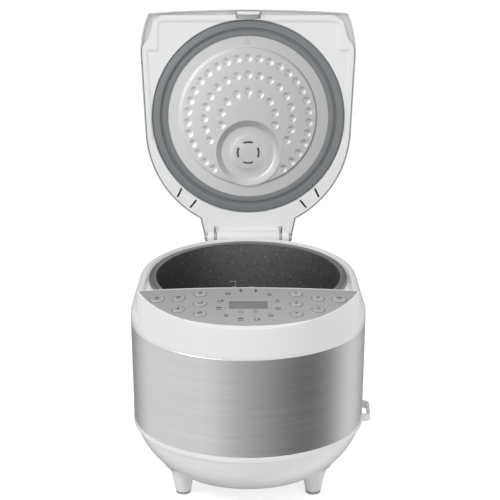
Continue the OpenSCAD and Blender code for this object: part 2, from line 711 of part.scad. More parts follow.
// Plan of the lid: a straight front edge, rounded corners, the body's outline and the neck.
lid_corner_r = 10;
lid_corner_y = lid_front + lid_corner_r;
lid_corner = [corner_c.x + sqrt(pow(corner_r - lid_corner_r, 2) - pow(lid_corner_y - corner_c.y, 2)),
              lid_corner_y];
lid_corner_turn = atan2(lid_corner.y - corner_c.y, lid_corner.x - corner_c.x);
neck_turn = acos((neck_x + 17) / back_r);
neck_back = hinge_y + 8;
lid_half = concat(
  [for (i = [0:4]) [lid_corner.x * i / 5, lid_front]],
  arc_pts(lid_corner, lid_corner_r, -90, lid_corner_turn, 4),
  [for (i = [1:6]) corner_c + corner_r * dir(lid_corner_turn + (side_turn - lid_corner_turn) * i / 6)],
  [for (i = [1:9]) back_c + back_r * dir(side_turn + (neck_turn - side_turn) * i / 9)],
  [[neck_x + 6, back_c.y + back_r * sin(neck_turn) + 7], [neck_x + 1, hinge_y - 14], [neck_x, hinge_y - 2],
   [neck_x - 1, neck_back - 4], [neck_x - 5, neck_back], [neck_x / 2, neck_back]]);
lid_loop = concat(lid_half, [[0, neck_back]],
                  [for (i = [len(lid_half) - 1:-1:1]) [-lid_half[i].x, lid_half[i].y]]);
lid_n = len(lid_loop);
lid_out = [for (i = [0:lid_n - 1]) let (d = lid_loop[(i + 1) % lid_n] - lid_loop[(i + lid_n - 1) % lid_n])
  [d.y, -d.x] / norm(d)];
lid_mid = [0, -5];
function lid_offset(o) = [for (i = [0:lid_n - 1]) lid_loop[i] + o * lid_out[i]];
function dome_z(p) = lid_top_z - lid_crown_r
  + sqrt(lid_crown_r * lid_crown_r - p.x * p.x - (p.y - crown_y) * (p.y - crown_y));
function toward_mid(p, pull, share) = lid_mid + share * (1 - pull / norm(p - lid_mid)) * (p - lid_mid);
function lid_ring(o, pull, share, drop) = [for (p = lid_offset(o)) let (q = toward_mid(p, pull, share))
  [q.x, q.y, dome_z(q) - drop]];

// Rings from the crown down the outside of a lid that is drawn in by o, with its edge rounded by r.
function lid_rings(o, drop, r) = concat(
  [for (share = [0.3, 0.55, 0.8]) lid_ring(o, r, share, drop)],
  [for (t = [90:-15:0]) lid_ring(o, r * (1 - cos(t)), 1, drop + r * (1 - sin(t)))]);

// Room for the hinge's two ears, clear of them through the whole swing
ear_clear = 3.5;
module ear_room() for (s = [0, 1]) mirror([s, 0, 0])
  box(barrel_x + fit, ear_out + 1, hinge_y - knuckle_r - ear_clear, neck_back + 1,
      lid_z - 1, hinge_z + knuckle_r + ear_clear);

module lid_shell() skin(
  concat(lid_rings(-wall, wall, lid_round - wall),
         [at_z(lid_offset(-wall), lid_z), at_z(lid_offset(0), lid_z)],
         [for (i = [9:-1:0]) lid_rings(0, 0, lid_round)[i]]),
  [[lid_mid.x, lid_mid.y, dome_z(lid_mid) - wall], [lid_mid.x, lid_mid.y, dome_z(lid_mid)]]);

module lid_cover() color(white) lid_place() difference() {
  union() {
    lid_shell();
    for (p = lid_boss_spots) translate([p.x, p.y, face_z + liner_plate_t])
      cylinder(r = 4.5, h = dome_z(p) - wall / 2 - face_z - liner_plate_t);
  }
  for (p = lid_boss_spots) translate([p.x, p.y, face_z]) cylinder(r = screw_r, h = 18);
  translate([0, steam_y, face_z + 20]) cylinder(r = valve_r + fit, h = 60);
  translate([0, button_y, face_z + 20]) linear_extrude(60) stadium(button_w + 1, button_d + 1);
  ear_room();
}
lid_boss_spots = [for (a = [45:90:315]) (gasket_r - 5.5) * dir(a)];
valve_r = 20;

module recess2d() {
  circle(r = gasket_r + 2.5);
  intersection() {
    polygon(outline(-16));
    translate([-half_w, lid_front + 11]) square([body_w, 80]);
  }
}

module lid_liner() color(white) lid_place() difference() {
  union() {
    translate([0, 0, lid_z + 0.5]) linear_extrude(face_z + liner_plate_t - lid_z - 0.5)
      polygon(lid_offset(-wall));
    // neck and hinge barrel
    translate([-barrel_x, hinge_y, hinge_z]) rotate([0, 90, 0]) cylinder(r = barrel_r, h = 2 * barrel_x);
    box(-barrel_x, barrel_x, hinge_y - barrel_r, hinge_y + barrel_r - 4, hinge_z + 5, face_z);
    // guides of the latch
    for (s = [0, 1]) mirror([s, 0, 0])
      box(slot_x - 1.2, slot_x + 2, lid_front + 2.8, lid_front + 14, face_z, face_z + 14);
  }
  translate([0, 0, lid_z - 5]) linear_extrude(face_z - lid_z + 5) recess2d();
  translate([0, 0, face_z - 1]) cylinder(r = 108, h = 10);
  for (p = lid_boss_spots) translate([p.x, p.y, face_z - 1]) {
    cylinder(r = screw_r + 0.1, h = 10);
    cylinder(r = head_r + 0.2, h = 1.9);
  }
  translate([-80, hinge_y, hinge_z]) rotate([0, 90, 0]) cylinder(r = pin_r + 0.1, h = 160);
  box(-spring_x, spring_x, hinge_y - 20, hinge_y + 20, hinge_z - 20, hinge_z + 8);
  translate([0, hook_y, 0]) box(-slot_x + 1.2, slot_x - 1.2, -3, 7.5, lid_z - 5, face_z + 20);
  ear_room();
  // cover plate's seat and the windows of the two retaining tabs
  box(-43, 43, hinge_y - 17, hinge_y - 2, lid_z - 1, lid_z + 1.7);
  for (s = [-1, 1]) translate([s * 84, 110, lid_z - 1]) rotate([0, 0, -s * 33]) linear_extrude(4.5)
    stadium(20, 8);
}

module hinge_cover() color(white) lid_place() difference() {
  box(-42.6, 42.6, hinge_y - 16.7, hinge_y - barrel_r - 0.4, lid_z + 0.6, lid_z + 1.7);
  box(-spring_x, spring_x, hinge_y - 2, hinge_y + 20, lid_z - 1, lid_z + 3);
}

module lid_screws() color(steel) lid_place() for (p = lid_boss_spots) translate([p.x, p.y, face_z]) {
  translate([0, 0, 0.2]) cylinder(r = 3, h = 0.7);
  translate([0, 0, 0.5]) cylinder(r = screw_r - 0.1, h = 14);
}

plate_z = face_z + liner_plate_t;
module lid_heat_plate() color(steel) lid_place() difference() {
  translate([0, 0, plate_z]) cylinder(r = gasket_r - 12.5, h = 1.5);
  translate([0, steam_y, plate_z - 1]) cylinder(r = steam_r - 4, h = 5);
  translate([0, -60, plate_z - 1]) cylinder(r = 4.2, h = 5);
}

module lid_sensor() color(steel) lid_place() translate([0, -60, 0]) {
  translate([0, 0, plate_z - 3]) cylinder(r = 4, h = 14);
  translate([0, 0, plate_z + 1.5]) cylinder(r = 7, h = 3);
}

// ---- inner lid ----
sheet_z = face_z - 2;
sheet_t = 1;
sheet_r = gasket_bore_r + 6.5;
ring_c_y = 3.6;
dimple_ball = (dimple_r * dimple_r + dimple_h * dimple_h) / (2 * dimple_h);
// rings of dimples: radius, how many, half of the arc they cover
dimple_rings = [[dish_r - 10, 29, 146], [dish_r - 32, 17, 119], [dish_r - 54, 9, 103]];

module each_dimple() translate([0, ring_c_y, 0]) for (r = dimple_rings, i = [0:r[1] - 1])
  rotate([0, 0, -90 - r[2] + 2 * r[2] * i / (r[1] - 1)]) translate([r[0], 0, 0]) children();

module dish(r, z, h) translate([0, 0, z]) cylinder(r1 = r - 2, r2 = r + 1, h = h);

dimple_z = sheet_z - dish_depth + dimple_ball - dimple_h;
module inner_lid() color(pale) lid_place() difference() {
  union() {
    translate([0, 0, sheet_z]) cylinder(r = sheet_r, h = sheet_t);
    dish(dish_r, sheet_z - dish_depth, dish_depth + eps);
    intersection() {
      each_dimple() translate([0, 0, dimple_z]) sphere(r = dimple_ball);
      box(-dish_r, dish_r, -dish_r, dish_r, sheet_z - dish_depth - 3, sheet_z - dish_depth + 0.5);
    }
    translate([0, steam_y, sheet_z - dish_depth]) cylinder(r = steam_r + 2, h = dish_depth);
    translate([0, steam_y, sheet_z]) cylinder(r1 = steam_r + 1, r2 = steam_r - 6, h = 5);
  }
  difference() {
    dish(dish_r - 1, sheet_z - dish_depth + sheet_t, dish_depth + 1);
    translate([0, steam_y, sheet_z - 5]) cylinder(r = steam_r + 1.2, h = 12);
  }
  intersection() {
    each_dimple() translate([0, 0, dimple_z]) sphere(r = dimple_ball - sheet_t);
    box(-dish_r, dish_r, -dish_r, dish_r, sheet_z - dish_depth - 3, sheet_z - dish_depth + sheet_t + 0.3);
  }
  translate([0, steam_y, 0]) {
    translate([0, 0, sheet_z - dish_depth - 1]) cylinder(r1 = steam_r + 1, r2 = steam_r, h = 2 + eps);
    translate([0, 0, sheet_z - dish_depth + 1]) cylinder(r1 = steam_r, r2 = steam_r - 8, h = 5.4);
    for (a = [0:90:270]) rotate([0, 0, a + 20]) translate([0, 0, sheet_z])
      rotate_extrude(angle = 50) translate([13.5, 0]) square([1.8, 12]);
  }
}

module inner_lid_gasket() color(rubber) lid_place() rotate_extrude() {
  difference() {
    translate([gasket_bore_r, sheet_z - 1]) square([gasket_r - gasket_bore_r, face_z - sheet_z + 1]);
    translate([gasket_bore_r - 1, sheet_z]) square([sheet_r + fit - gasket_bore_r + 1, sheet_t]);
    translate([gasket_r - 3, sheet_z - 2]) square([4, 2.4]);
  }
  translate([pot_rim_r - 4.3, rim_z + 1.1]) circle(r = 0.9);
  translate([pot_rim_r - 5.2, rim_z + 1.1]) square([1.8, 0.9]);
}

// ---- steam path and latch ----
module steam_seal() color(rubber) lid_place() translate([0, steam_y, sheet_z + 5])
  tube(steam_r - 10, steam_r - 14, plate_z + 1.5 - sheet_z - 5);

cover_z_steam = lid_top_z - wall - 4.6;
module steam_valve() color(white) lid_place() translate([0, steam_y, plate_z + 1.5]) difference() {
  union() {
    cylinder(r = steam_r + 2, h = 2);
    cylinder(r = valve_r - 4, h = cover_z_steam - plate_z - 3);
  }
  translate([0, 0, -1]) cylinder(r = valve_r - 6, h = 60);
  translate([0, 0, -1]) cylinder(r = 26, h = 2);
}

module steam_cap() color(white) lid_place() translate([0, steam_y, cover_z_steam - 1.5]) difference() {
  union() {
    cylinder(r = valve_r, h = 8);
    translate([0, 0, 8 - eps]) cylinder(r1 = valve_r + 1.5, r2 = valve_r - 1, h = 2.5);
  }
  translate([0, 0, -1]) cylinder(r = valve_r - 3, h = 8);
  for (a = [0:60:300]) rotate([0, 0, a]) translate([9, 0, 0]) linear_extrude(20) stadium(8, 2.4);
}

hook_t = 3;
module latch_hook() color(white) lid_place() translate([0, hook_y, 0]) {
  box(-slot_x + 2, slot_x - 2, -hook_t / 2, hook_t / 2, deck_z - 6, face_z + 16);
  box(-slot_x + 2, slot_x - 2, -hook_t / 2 - 1, 0, deck_z - 6, deck_z - 3.6);
  box(-slot_x + 4, slot_x - 4, 0, 10, face_z + 14, face_z + 16);
}

module latch_spring() color(steel) lid_place() translate([0, lid_front + wall, face_z + 9])
  rotate([-90, 0, 0])
  coil_sleeve(3, 0.9, hook_y - hook_t / 2 - lid_front - wall);

module release_button() color(silver) lid_place() {
  translate([0, button_y, button_z - 6]) linear_extrude(6 + button_up) stadium(button_w, button_d);
  translate([0, button_y, face_z + 18]) cylinder(r = 4, h = button_z - face_z - 20);
}

base_shell();
foot_pads();
steel_band();
upper_collar();
chamber_liner();
control_panel();
display_window();
control_board();
display_module();
tact_switches();
heater_plate();
heater_element();
heater_posts();
side_heater();
thermal_fuse();
sensor_bracket();
sensor_spring();
sensor_cap();
power_board();
power_inlet();
inlet_pins();
base_screws();
paddle_holder();
hinge_bracket();
hinge_screws();
hinge_pin();
hinge_spring();
dew_cup();
pot();
lid_cover();
lid_liner();
lid_heat_plate();
lid_sensor();
lid_screws();
hinge_cover();
steam_valve();
steam_seal();
steam_cap();
latch_hook();
latch_spring();
release_button();
inner_lid();
inner_lid_gasket();
key_left_1();
key_left_2();
key_left_3();
key_left_4();
key_left_5();
key_left_6();
key_right_1();
key_right_2();
key_right_3();
key_right_4();
key_right_5();
key_right_6();
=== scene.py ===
"""Looks of the open rice cooker: meshes, materials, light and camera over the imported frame."""
import math

import bpy
import bmesh
import numpy as np
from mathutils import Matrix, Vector


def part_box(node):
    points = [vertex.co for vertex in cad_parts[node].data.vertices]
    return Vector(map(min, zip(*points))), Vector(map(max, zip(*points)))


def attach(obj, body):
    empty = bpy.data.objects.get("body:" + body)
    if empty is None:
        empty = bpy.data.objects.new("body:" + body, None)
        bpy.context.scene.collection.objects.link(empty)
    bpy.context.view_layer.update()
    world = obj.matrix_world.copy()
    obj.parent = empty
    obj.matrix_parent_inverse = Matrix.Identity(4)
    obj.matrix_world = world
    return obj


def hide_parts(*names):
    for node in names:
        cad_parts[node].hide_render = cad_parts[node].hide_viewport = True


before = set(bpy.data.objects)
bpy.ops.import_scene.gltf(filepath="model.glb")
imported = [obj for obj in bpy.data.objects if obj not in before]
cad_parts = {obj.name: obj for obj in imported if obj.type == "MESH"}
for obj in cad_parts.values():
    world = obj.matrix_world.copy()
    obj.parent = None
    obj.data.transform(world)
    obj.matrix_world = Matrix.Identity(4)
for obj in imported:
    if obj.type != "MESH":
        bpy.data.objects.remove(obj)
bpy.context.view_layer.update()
MM = 0.001

# ------------ places, in millimetres
pot_lo, pot_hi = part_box("pot")
SX = (pot_lo.x + pot_hi.x) / 2 / MM
SY = (pot_lo.y + pot_hi.y) / 2 / MM
RIM_Z = pot_hi.z / MM
POT_Z = pot_lo.z / MM
RIM_R = (pot_hi.x - pot_lo.x) / 2 / MM
band_lo, band_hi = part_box("steel_band")
SEAM_LO = band_lo.z / MM
SEAM_HI = band_hi.z / MM
HALF_W = (band_hi.x - band_lo.x) / 2 / MM
FRONT_Y = band_lo.y / MM - SY
DECK_Z = RIM_Z - 4
BOWL_Z = 24.0
TAPER = 2.0
BOWL_IN = 68.0
# the body's plan: a broad front arc, a tight arc at each corner and a round back
FRONT_R, TURN, BELLY_Y = 150.0, 40.0, 84.0
BACK_R, BACK_Y = 136.0, 15.0
REAR_Y = BACK_Y + BACK_R
# the console: its rear edge, its lean in degrees and the sideways crown of its face
CONSOLE_Y, CONSOLE_Z, TILT, CROWN_R = 141.0, 281.4, 16.0, 1250.0
LENS_R, MARGIN = 190.0, 6.0
REAR_BOW, LENS_EDGE, EDGE = 4.5, 1.0, 0.8
# the lid: its hinge, how far it stands open in degrees, its neck and its domed top
HINGE_Y, HINGE_Z, LID_OPEN, NECK_X = 160.0, 233.7, 106.4, 57.0
LID_TOP, LID_CROWN = 291.0, 900.0
STEAM_Y, BUTTON_Y = 48.0, -112.0


def rad(a):
    return a * math.pi / 180


def to_world(p):
    p = np.asarray(p, float)
    return (p + np.array([SX, SY, 0])) * MM


def rx(a):
    c, s = math.cos(rad(a)), math.sin(rad(a))
    return np.array([[1, 0, 0], [0, c, -s], [0, s, c]])


def swung(p, a):
    """Points turned by a degrees about the lid's hinge."""
    h = np.array([0, HINGE_Y, HINGE_Z])
    return (np.asarray(p, float) - h) @ rx(a).T + h


def opened(mesh):
    """A mesh drawn on the shut lid, swung open with it."""
    return swung(mesh[0], -LID_OPEN), mesh[1]


def on_panel(p):
    return np.asarray(p, float) @ rx(TILT).T + np.array([0, -CONSOLE_Y, CONSOLE_Z])


def crown_n(x):
    return np.sqrt(CROWN_R**2 - np.asarray(x, float) ** 2) - CROWN_R


# ------------ mesh helpers
def add(name, data):
    """A new object in the scene."""
    ob = bpy.data.objects.new(name, data)
    bpy.context.scene.collection.objects.link(ob)
    return ob


def mesh_object(name, verts, faces):
    me = bpy.data.meshes.new(name)
    me.from_pydata(verts, [], faces)
    return add(name, me)


def rework(me, angle=None, weld=False, outward=False):
    """Welds a mesh, turns its faces outward, or shades it smooth up to an angle."""
    bm = bmesh.new()
    bm.from_mesh(me)
    if weld:
        bmesh.ops.remove_doubles(bm, verts=bm.verts, dist=1e-7)
    if outward:
        bmesh.ops.recalc_face_normals(bm, faces=bm.faces)
    if angle is not None:
        for f in bm.faces:
            f.smooth = True
        for e in bm.edges:
            e.smooth = not (len(e.link_faces) == 2 and e.calc_face_angle(0) > rad(angle))
    bm.to_mesh(me)
    bm.free()


def piece(name, mesh, look, body, angle=35, replaces=(), uv=None):
    """A mesh in millimetres, shaded smooth up to an angle, with a look, that rides on a body."""
    ob = mesh_object(name, to_world(mesh[0]).tolist(), mesh[1])
    me = ob.data
    if uv is not None:
        layer = me.uv_layers.new(name="UVMap")
        idx = np.zeros(len(me.loops), int)
        me.loops.foreach_get("vertex_index", idx)
        layer.data.foreach_set("uv", np.asarray(uv, float)[idx].ravel())
    rework(me, angle, weld=True, outward=True)
    me.materials.append(M[look])
    if replaces:
        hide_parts(*replaces)
    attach(ob, body)
    return ob


def shell(rings, loop=False, cap=(True, True)):
    """Closed rings joined in order. loop joins the last to the first; cap closes the first and the last."""
    rings = [np.asarray(r, float) for r in rings]
    n, k = len(rings[0]), len(rings)
    verts = np.vstack(rings)
    faces = []
    for r in range(k if loop else k - 1):
        a, b = r * n, ((r + 1) % k) * n
        faces += [(a + i, a + (i + 1) % n, b + (i + 1) % n, b + i) for i in range(n)]
    for closed, ring in zip(cap, (0, k - 1)):
        if closed and not loop:
            a = ring * n
            faces += [(a + i, a + (i + 1) % n, len(verts)) for i in range(n)]
            verts = np.vstack([verts, rings[ring].mean(0)[None]])
    return verts, faces


def revolve(profile, n, centre=(0, 0), loop=True):
    """A profile of (radius, height) turned round an upright axis."""
    rings = [at_z(circle(r, n) + np.array(centre), z) for r, z in profile]
    return shell(rings, loop=loop)


def join(*parts):
    verts, faces, off = [], [], 0
    for v, f in parts:
        verts.append(np.asarray(v, float))
        faces += [tuple(i + off for i in face) for face in f]
        off += len(v)
    return np.vstack(verts), faces


def at_z(plan, z):
    return np.column_stack([plan, np.broadcast_to(z, len(plan))])


def round_corner(c, r, a0, a1, n):
    a = np.linspace(rad(a0), rad(a1), n)
    return [(c[0] + r * math.cos(t), c[1] + r * math.sin(t)) for t in a]


def rounding(r, turns):
    """(inset, drop) of a quarter-round edge of radius r at each turn: 0 at its foot, 90 at its top."""
    return [(r * (1 - math.cos(a)), r * (1 - math.sin(a))) for a in map(rad, turns)]


def bar(x0, x1, y0, y1, z0, z1, r):
    """A block with all its edges rounded a little."""
    def ring(o, z):
        plan = rrect(x1 - x0 - 2 * o, y1 - y0 - 2 * o, max(r - o, 0.05), 5)
        return at_z(plan + np.array([(x0 + x1) / 2, (y0 + y1) / 2]), z)

    turns = rounding(r, (90, 60, 30, 0))
    low = [ring(o, z0 + drop) for o, drop in turns]
    return shell(low + [ring(o, z1 - drop) for o, drop in turns[::-1]])


def rrect(w, h, r, n=8):
    """A rectangle with round corners."""
    q = []
    for cx, cy, a in ((w / 2 - r, h / 2 - r, 0), (r - w / 2, h / 2 - r, 90),
                      (r - w / 2, r - h / 2, 180), (w / 2 - r, r - h / 2, 270)):
        q += round_corner((cx, cy), r, a, a + 90, n)
    return np.array(q)


def capsule_plan(w, d, n):
    r = d / 2
    c = w / 2 - r
    return np.array(round_corner((c, 0), r, -90, 90, n) + round_corner((-c, 0), r, 90, 270, n))


def cut(ob, *tools, angle=35):
    """Takes closed shapes, given in millimetres, out of a piece."""
    made = []
    for v, f in tools:
        c = mesh_object("cutter", to_world(v).tolist(), f)
        rework(c.data, outward=True)
        made.append(c)
        m = ob.modifiers.new("cut", "BOOLEAN")
        m.operation = "DIFFERENCE"
        m.solver = "MANIFOLD"
        m.object = c
    bpy.context.view_layer.update()
    me = bpy.data.meshes.new_from_object(ob.evaluated_get(bpy.context.evaluated_depsgraph_get()))
    ob.modifiers.clear()
    old = ob.data
    ob.data = me
    bpy.data.meshes.remove(old)
    for c in made:
        bpy.data.objects.remove(c)
    rework(me, angle)


def prism(plan, z0, z1, centre=(0, 0)):
    plan = np.asarray(plan) + np.array(centre)
    return shell([at_z(plan, z0), at_z(plan, z1)])


def block(x0, x1, y0, y1, z0, z1):
    return prism([(x0, y0), (x1, y0), (x1, y1), (x0, y1)], z0, z1)


def circle(r, n=72):
    t = np.linspace(0, 2 * math.pi, n, endpoint=False)
    return np.stack([r * np.cos(t), r * np.sin(t)], 1)


# ------------ plan of the body
SIN_T, COS_T = math.sin(rad(TURN)), math.cos(rad(TURN))
CORNER_R = (HALF_W - FRONT_R * SIN_T) / (1 - SIN_T)
CORNER_C = ((FRONT_R - CORNER_R) * SIN_T, -BELLY_Y)
FRONT_C = (0.0, -BELLY_Y + (FRONT_R - CORNER_R) * COS_T)
_dx, _dy = CORNER_C[0], CORNER_C[1] - BACK_Y
SIDE_TURN = math.degrees(math.acos((BACK_R - CORNER_R) / math.hypot(_dx, _dy)) - math.atan2(-_dy, _dx))


def arc(c, r, a0, a1, n):
    a = np.radians(np.linspace(a0, a1, n))
    d = np.stack([np.cos(a), np.sin(a)], 1)
    return np.array(c) + r * d, d


def mirrored(half):
    """A closed loop from its right half, whose two ends lie on the middle line."""
    return np.vstack([half, half[-2:0:-1] * np.array([-1, 1])])


def between(a, b, n):
    """The inner points of a straight line of n points."""
    return a + np.linspace(0, 1, n)[1:-1, None] * (b - a)


def normals(plan):
    """The outward unit normals of a closed outline."""
    d = np.roll(plan, -1, 0) - np.roll(plan, 1, 0)
    return np.stack([d[:, 1], -d[:, 0]], 1) / np.linalg.norm(d, axis=1)[:, None]


def side_and_back(start, counts):
    """The body's outline from a turn on its corner arc to the middle of its back, and its normals."""
    side, side_n = arc(CORNER_C, CORNER_R, start, SIDE_TURN, counts[0])
    back, back_n = arc((0, BACK_Y), BACK_R, SIDE_TURN, 90, counts[2])
    flat = between(side[-1], back[0], counts[1])
    flat_n = np.repeat(back_n[:1], len(flat), 0)
    return np.vstack([side, flat, back]), np.vstack([side_n, flat_n, back_n])


def build_outline():
    front, front_n = arc(FRONT_C, FRONT_R, -90, -90 + TURN, 20)
    rest, rest_n = side_and_back(-90 + TURN, (30, 10, 44))
    return mirrored(np.vstack([front, rest[1:]])), mirrored(np.vstack([front_n, rest_n[1:]]))


OUT_P, OUT_N = build_outline()
_seg = np.linalg.norm(np.roll(OUT_P, -1, 0) - OUT_P, axis=1)
OUT_S = np.concatenate([[0], np.cumsum(_seg)[:-1]])


def outline(o):
    return OUT_P + o * OUT_N


def body_sweep(profile, loop=False, cap=(True, True)):
    return shell([at_z(outline(o), z) for o, z in profile], loop=loop, cap=cap)


# ------------ materials
class Nodes:
    """Short calls for the nodes of a material or of the world."""

    def __init__(self, tree):
        self.t = tree
        self.co = self.node("TexCoord")

    def node(self, kind, sockets=None, **props):
        """A node with its properties, and its sockets set to a number, a vector or a colour, or linked."""
        n = self.t.nodes.new("ShaderNode" + kind)
        for k, v in props.items():
            setattr(n, k, v)
        for k, v in (sockets or {}).items():
            self.feed(n.inputs[k], v)
        return n

    def feed(self, sock, v):
        if isinstance(v, (int, float)):
            sock.default_value = v
        elif isinstance(v, tuple):
            sock.default_value = (*v, 1) if sock.type == "RGBA" else v
        else:
            self.t.links.new(v, sock)

    def noise(self, scale, detail=3, rough=0.5, stretch=None, coord="Object"):
        src = self.co.outputs[coord]
        if stretch:
            src = self.node("Mapping", {"Scale": stretch, "Vector": src}).outputs[0]
        sockets = {"Scale": scale, "Detail": detail, "Roughness": rough, "Vector": src}
        return self.node("TexNoise", sockets).outputs["Fac"]

    def ramp(self, fac, stops, interp="LINEAR"):
        r = self.node("ValToRGB", {"Fac": fac})
        r.color_ramp.interpolation = interp
        e = r.color_ramp.elements
        while len(e) < len(stops):
            e.new(0.5)
        for el, (pos, col) in zip(e, stops):
            el.position = pos
            el.color = (*col, 1)
        return r.outputs["Color"]

    def range(self, fac, lo, hi, flo=0.0, fhi=1.0):
        ends = {"From Min": flo, "From Max": fhi, "To Min": lo, "To Max": hi, "Value": fac}
        return self.node("MapRange", ends).outputs["Result"]

    def mix(self, fac, a, b, mode="MIX"):
        return self.node("Mix", {0: fac, 6: a, 7: b}, data_type="RGBA", blend_type=mode).outputs[2]

    def math(self, op, a, b, clamp=False):
        return self.node("Math", {0: a, 1: b}, operation=op, use_clamp=clamp).outputs[0]


class Mat(Nodes):
    def __init__(self, name):
        self.m = bpy.data.materials.new(name)
        self.m.use_nodes = True
        super().__init__(self.m.node_tree)
        self.b = self.t.nodes["Principled BSDF"]

    def put(self, **sockets):
        for k, v in sockets.items():
            self.feed(self.b.inputs[k.replace("_", " ")], v)
        return self

    def bump(self, height, strength, dist=0.0002):
        bump = self.node("Bump", {"Strength": strength, "Distance": dist, "Height": height})
        self.put(Normal=bump.outputs["Normal"])

    def colour(self, sock):
        self.put(Base_Color=sock)

    def rough(self, sock):
        self.put(Roughness=sock)

    def along(self, axis, start, end, k_start, k_end):
        """A factor that runs evenly from k_start to k_end between two places on an axis, in metres."""
        place = self.node("SeparateXYZ", {0: self.co.outputs["Object"]})
        return self.range(place.outputs[axis], k_start, k_end, start, end)


def shade(c, k):
    return tuple(min(1.0, v * k) for v in c)


def plastic(name, col, rough, peel, coat=0.0, spec=0.5, grain=420):
    m = Mat(name).put(Roughness=rough, Specular_IOR_Level=spec, Coat_Weight=coat, Coat_Roughness=0.12)
    m.colour(m.ramp(m.noise(9, 1, 0.4), [(0.2, shade(col, 0.994)), (0.8, shade(col, 1.006))]))
    m.rough(m.range(m.noise(40, 1), rough * 0.96, rough * 1.05))
    m.bump(m.noise(grain, 2, 0.5), peel)
    return m.m


def metal(name, col, rough, stretch=(1, 1, 1), scale=300, bump=0.05):
    m = Mat(name).put(Metallic=1.0, Roughness=rough)
    streak = m.noise(scale, 4, 0.6, stretch)
    m.colour(m.ramp(streak, [(0.3, shade(col, 0.95)), (0.7, shade(col, 1.05))]))
    m.rough(m.range(streak, rough * 0.85, rough * 1.2))
    m.bump(streak, bump)
    return m.m


M = {
    "white": plastic("white_shell", (0.84, 0.84, 0.835), 0.28, 0.03, coat=0.25),
    "lid_white": plastic("lid_liner_plastic", (0.80, 0.805, 0.81), 0.42, 0.05),
    "key": plastic("key_silver", (0.38, 0.38, 0.39), 0.22, 0.02, coat=0.5),
    # dark plastic, also painted shade for the floor vents and screw wells
    "dark": plastic("dark_plastic", (0.03, 0.03, 0.033), 0.45, 0.06),
    "grey": plastic("grey_plastic", (0.55, 0.56, 0.57), 0.5, 0.06),
    "milky": plastic("milky_plastic", (0.70, 0.72, 0.73), 0.35, 0.03),
    "lid_print": plastic("lid_mark_grey", (0.42, 0.42, 0.43), 0.5, 0.02),
    # painted shade for the sunk strip of the lid's liner
    "groove": plastic("painted_groove_shade", (0.66, 0.66, 0.665), 0.5, 0.02),
    "print": plastic("printed_marks", (0.035, 0.035, 0.04), 0.55, 0.02),
    "mark": plastic("pot_marks", (0.62, 0.62, 0.62), 0.6, 0.02),
    "pad": plastic("foot_rubber", (0.42, 0.42, 0.43), 0.7, 0.15, grain=900),
    "gasket": plastic("silicone_gasket", (0.20, 0.212, 0.218), 0.42, 0.05, spec=0.4),
    "board": plastic("circuit_board", (0.02, 0.13, 0.06), 0.5, 0.1),
    "plated": metal("plated_steel", (0.55, 0.55, 0.56), 0.3),
    "cast": metal("cast_aluminium", (0.62, 0.62, 0.63), 0.5, bump=0.25, scale=500),
    "liner": metal("liner_aluminium", (0.66, 0.66, 0.67), 0.38, stretch=(1, 1, 14)),
    "brass": metal("plated_pins", (0.72, 0.55, 0.28), 0.3),
    "rim": metal("pot_rim", (0.34, 0.34, 0.35), 0.38, stretch=(1, 1, 30), bump=0.04),
}


def steel_material():
    """Steel brushed round the body: long fine streaks along u, and a few faint broader ones."""
    m = Mat("brushed_steel").put(Metallic=1.0, Roughness=0.30, Anisotropic=0.5)
    fine = m.noise(1.0, 5, 0.65, (10, 1500, 1), "UV")
    broad = m.noise(1.0, 3, 0.5, (6, 160, 1), "UV")
    both = m.math("ADD", m.math("MULTIPLY", fine, 0.65), m.math("MULTIPLY", broad, 0.35))
    m.colour(m.ramp(both, [(0.3, (0.56, 0.56, 0.57)), (0.7, (0.70, 0.70, 0.71))]))
    m.rough(m.range(both, 0.24, 0.36, 0.3, 0.7))
    m.bump(fine, 0.06)
    m.put(Tangent=m.node("Tangent", direction_type="UV_MAP", uv_map="UVMap").outputs["Tangent"])
    return m.m


def panel_material():
    """Silver lacquer with a fine fleck, and painted light that makes it a little lighter toward the front
    left.
    """
    m = Mat("silver_lacquer").put(Metallic=0.55, Roughness=0.42, Coat_Weight=0.3, Coat_Roughness=0.2)
    fleck = m.noise(2600, 2, 0.6)
    # painted light: the colour is raised toward the front left and lowered toward the back right
    painted_front_light = m.along("Y", -0.235, -0.145, 1.16, 0.86)
    painted_light = m.math("MULTIPLY", painted_front_light, m.along("X", -0.13, 0.13, 1.06, 0.90))
    silver = m.ramp(fleck, [(0.3, (0.40, 0.40, 0.41)), (0.7, (0.50, 0.50, 0.51))])
    m.colour(m.mix(1.0, silver, painted_light, "MULTIPLY"))
    m.rough(m.range(m.noise(90, 3), 0.36, 0.47))
    m.bump(fleck, 0.03, 0.0001)
    return m.m


def inner_lid_material():
    """Satin aluminium, with painted light and shade that make it a little lighter at the left and darker
    toward the right.
    """
    m = Mat("inner_lid_aluminium").put(Metallic=0.82, Roughness=0.5)
    streak = m.noise(900, 4, 0.6)
    col = m.ramp(streak, [(0.3, (0.65, 0.65, 0.65)), (0.7, (0.68, 0.68, 0.68))])
    # painted light and shade: the colour runs from lighter at the left to darker at the right
    m.colour(m.mix(1.0, col, m.along("X", -0.09, 0.09, 1.08, 0.80), "MULTIPLY"))
    m.rough(m.range(streak, 0.44, 0.58))
    m.bump(streak, 0.03)
    return m.m


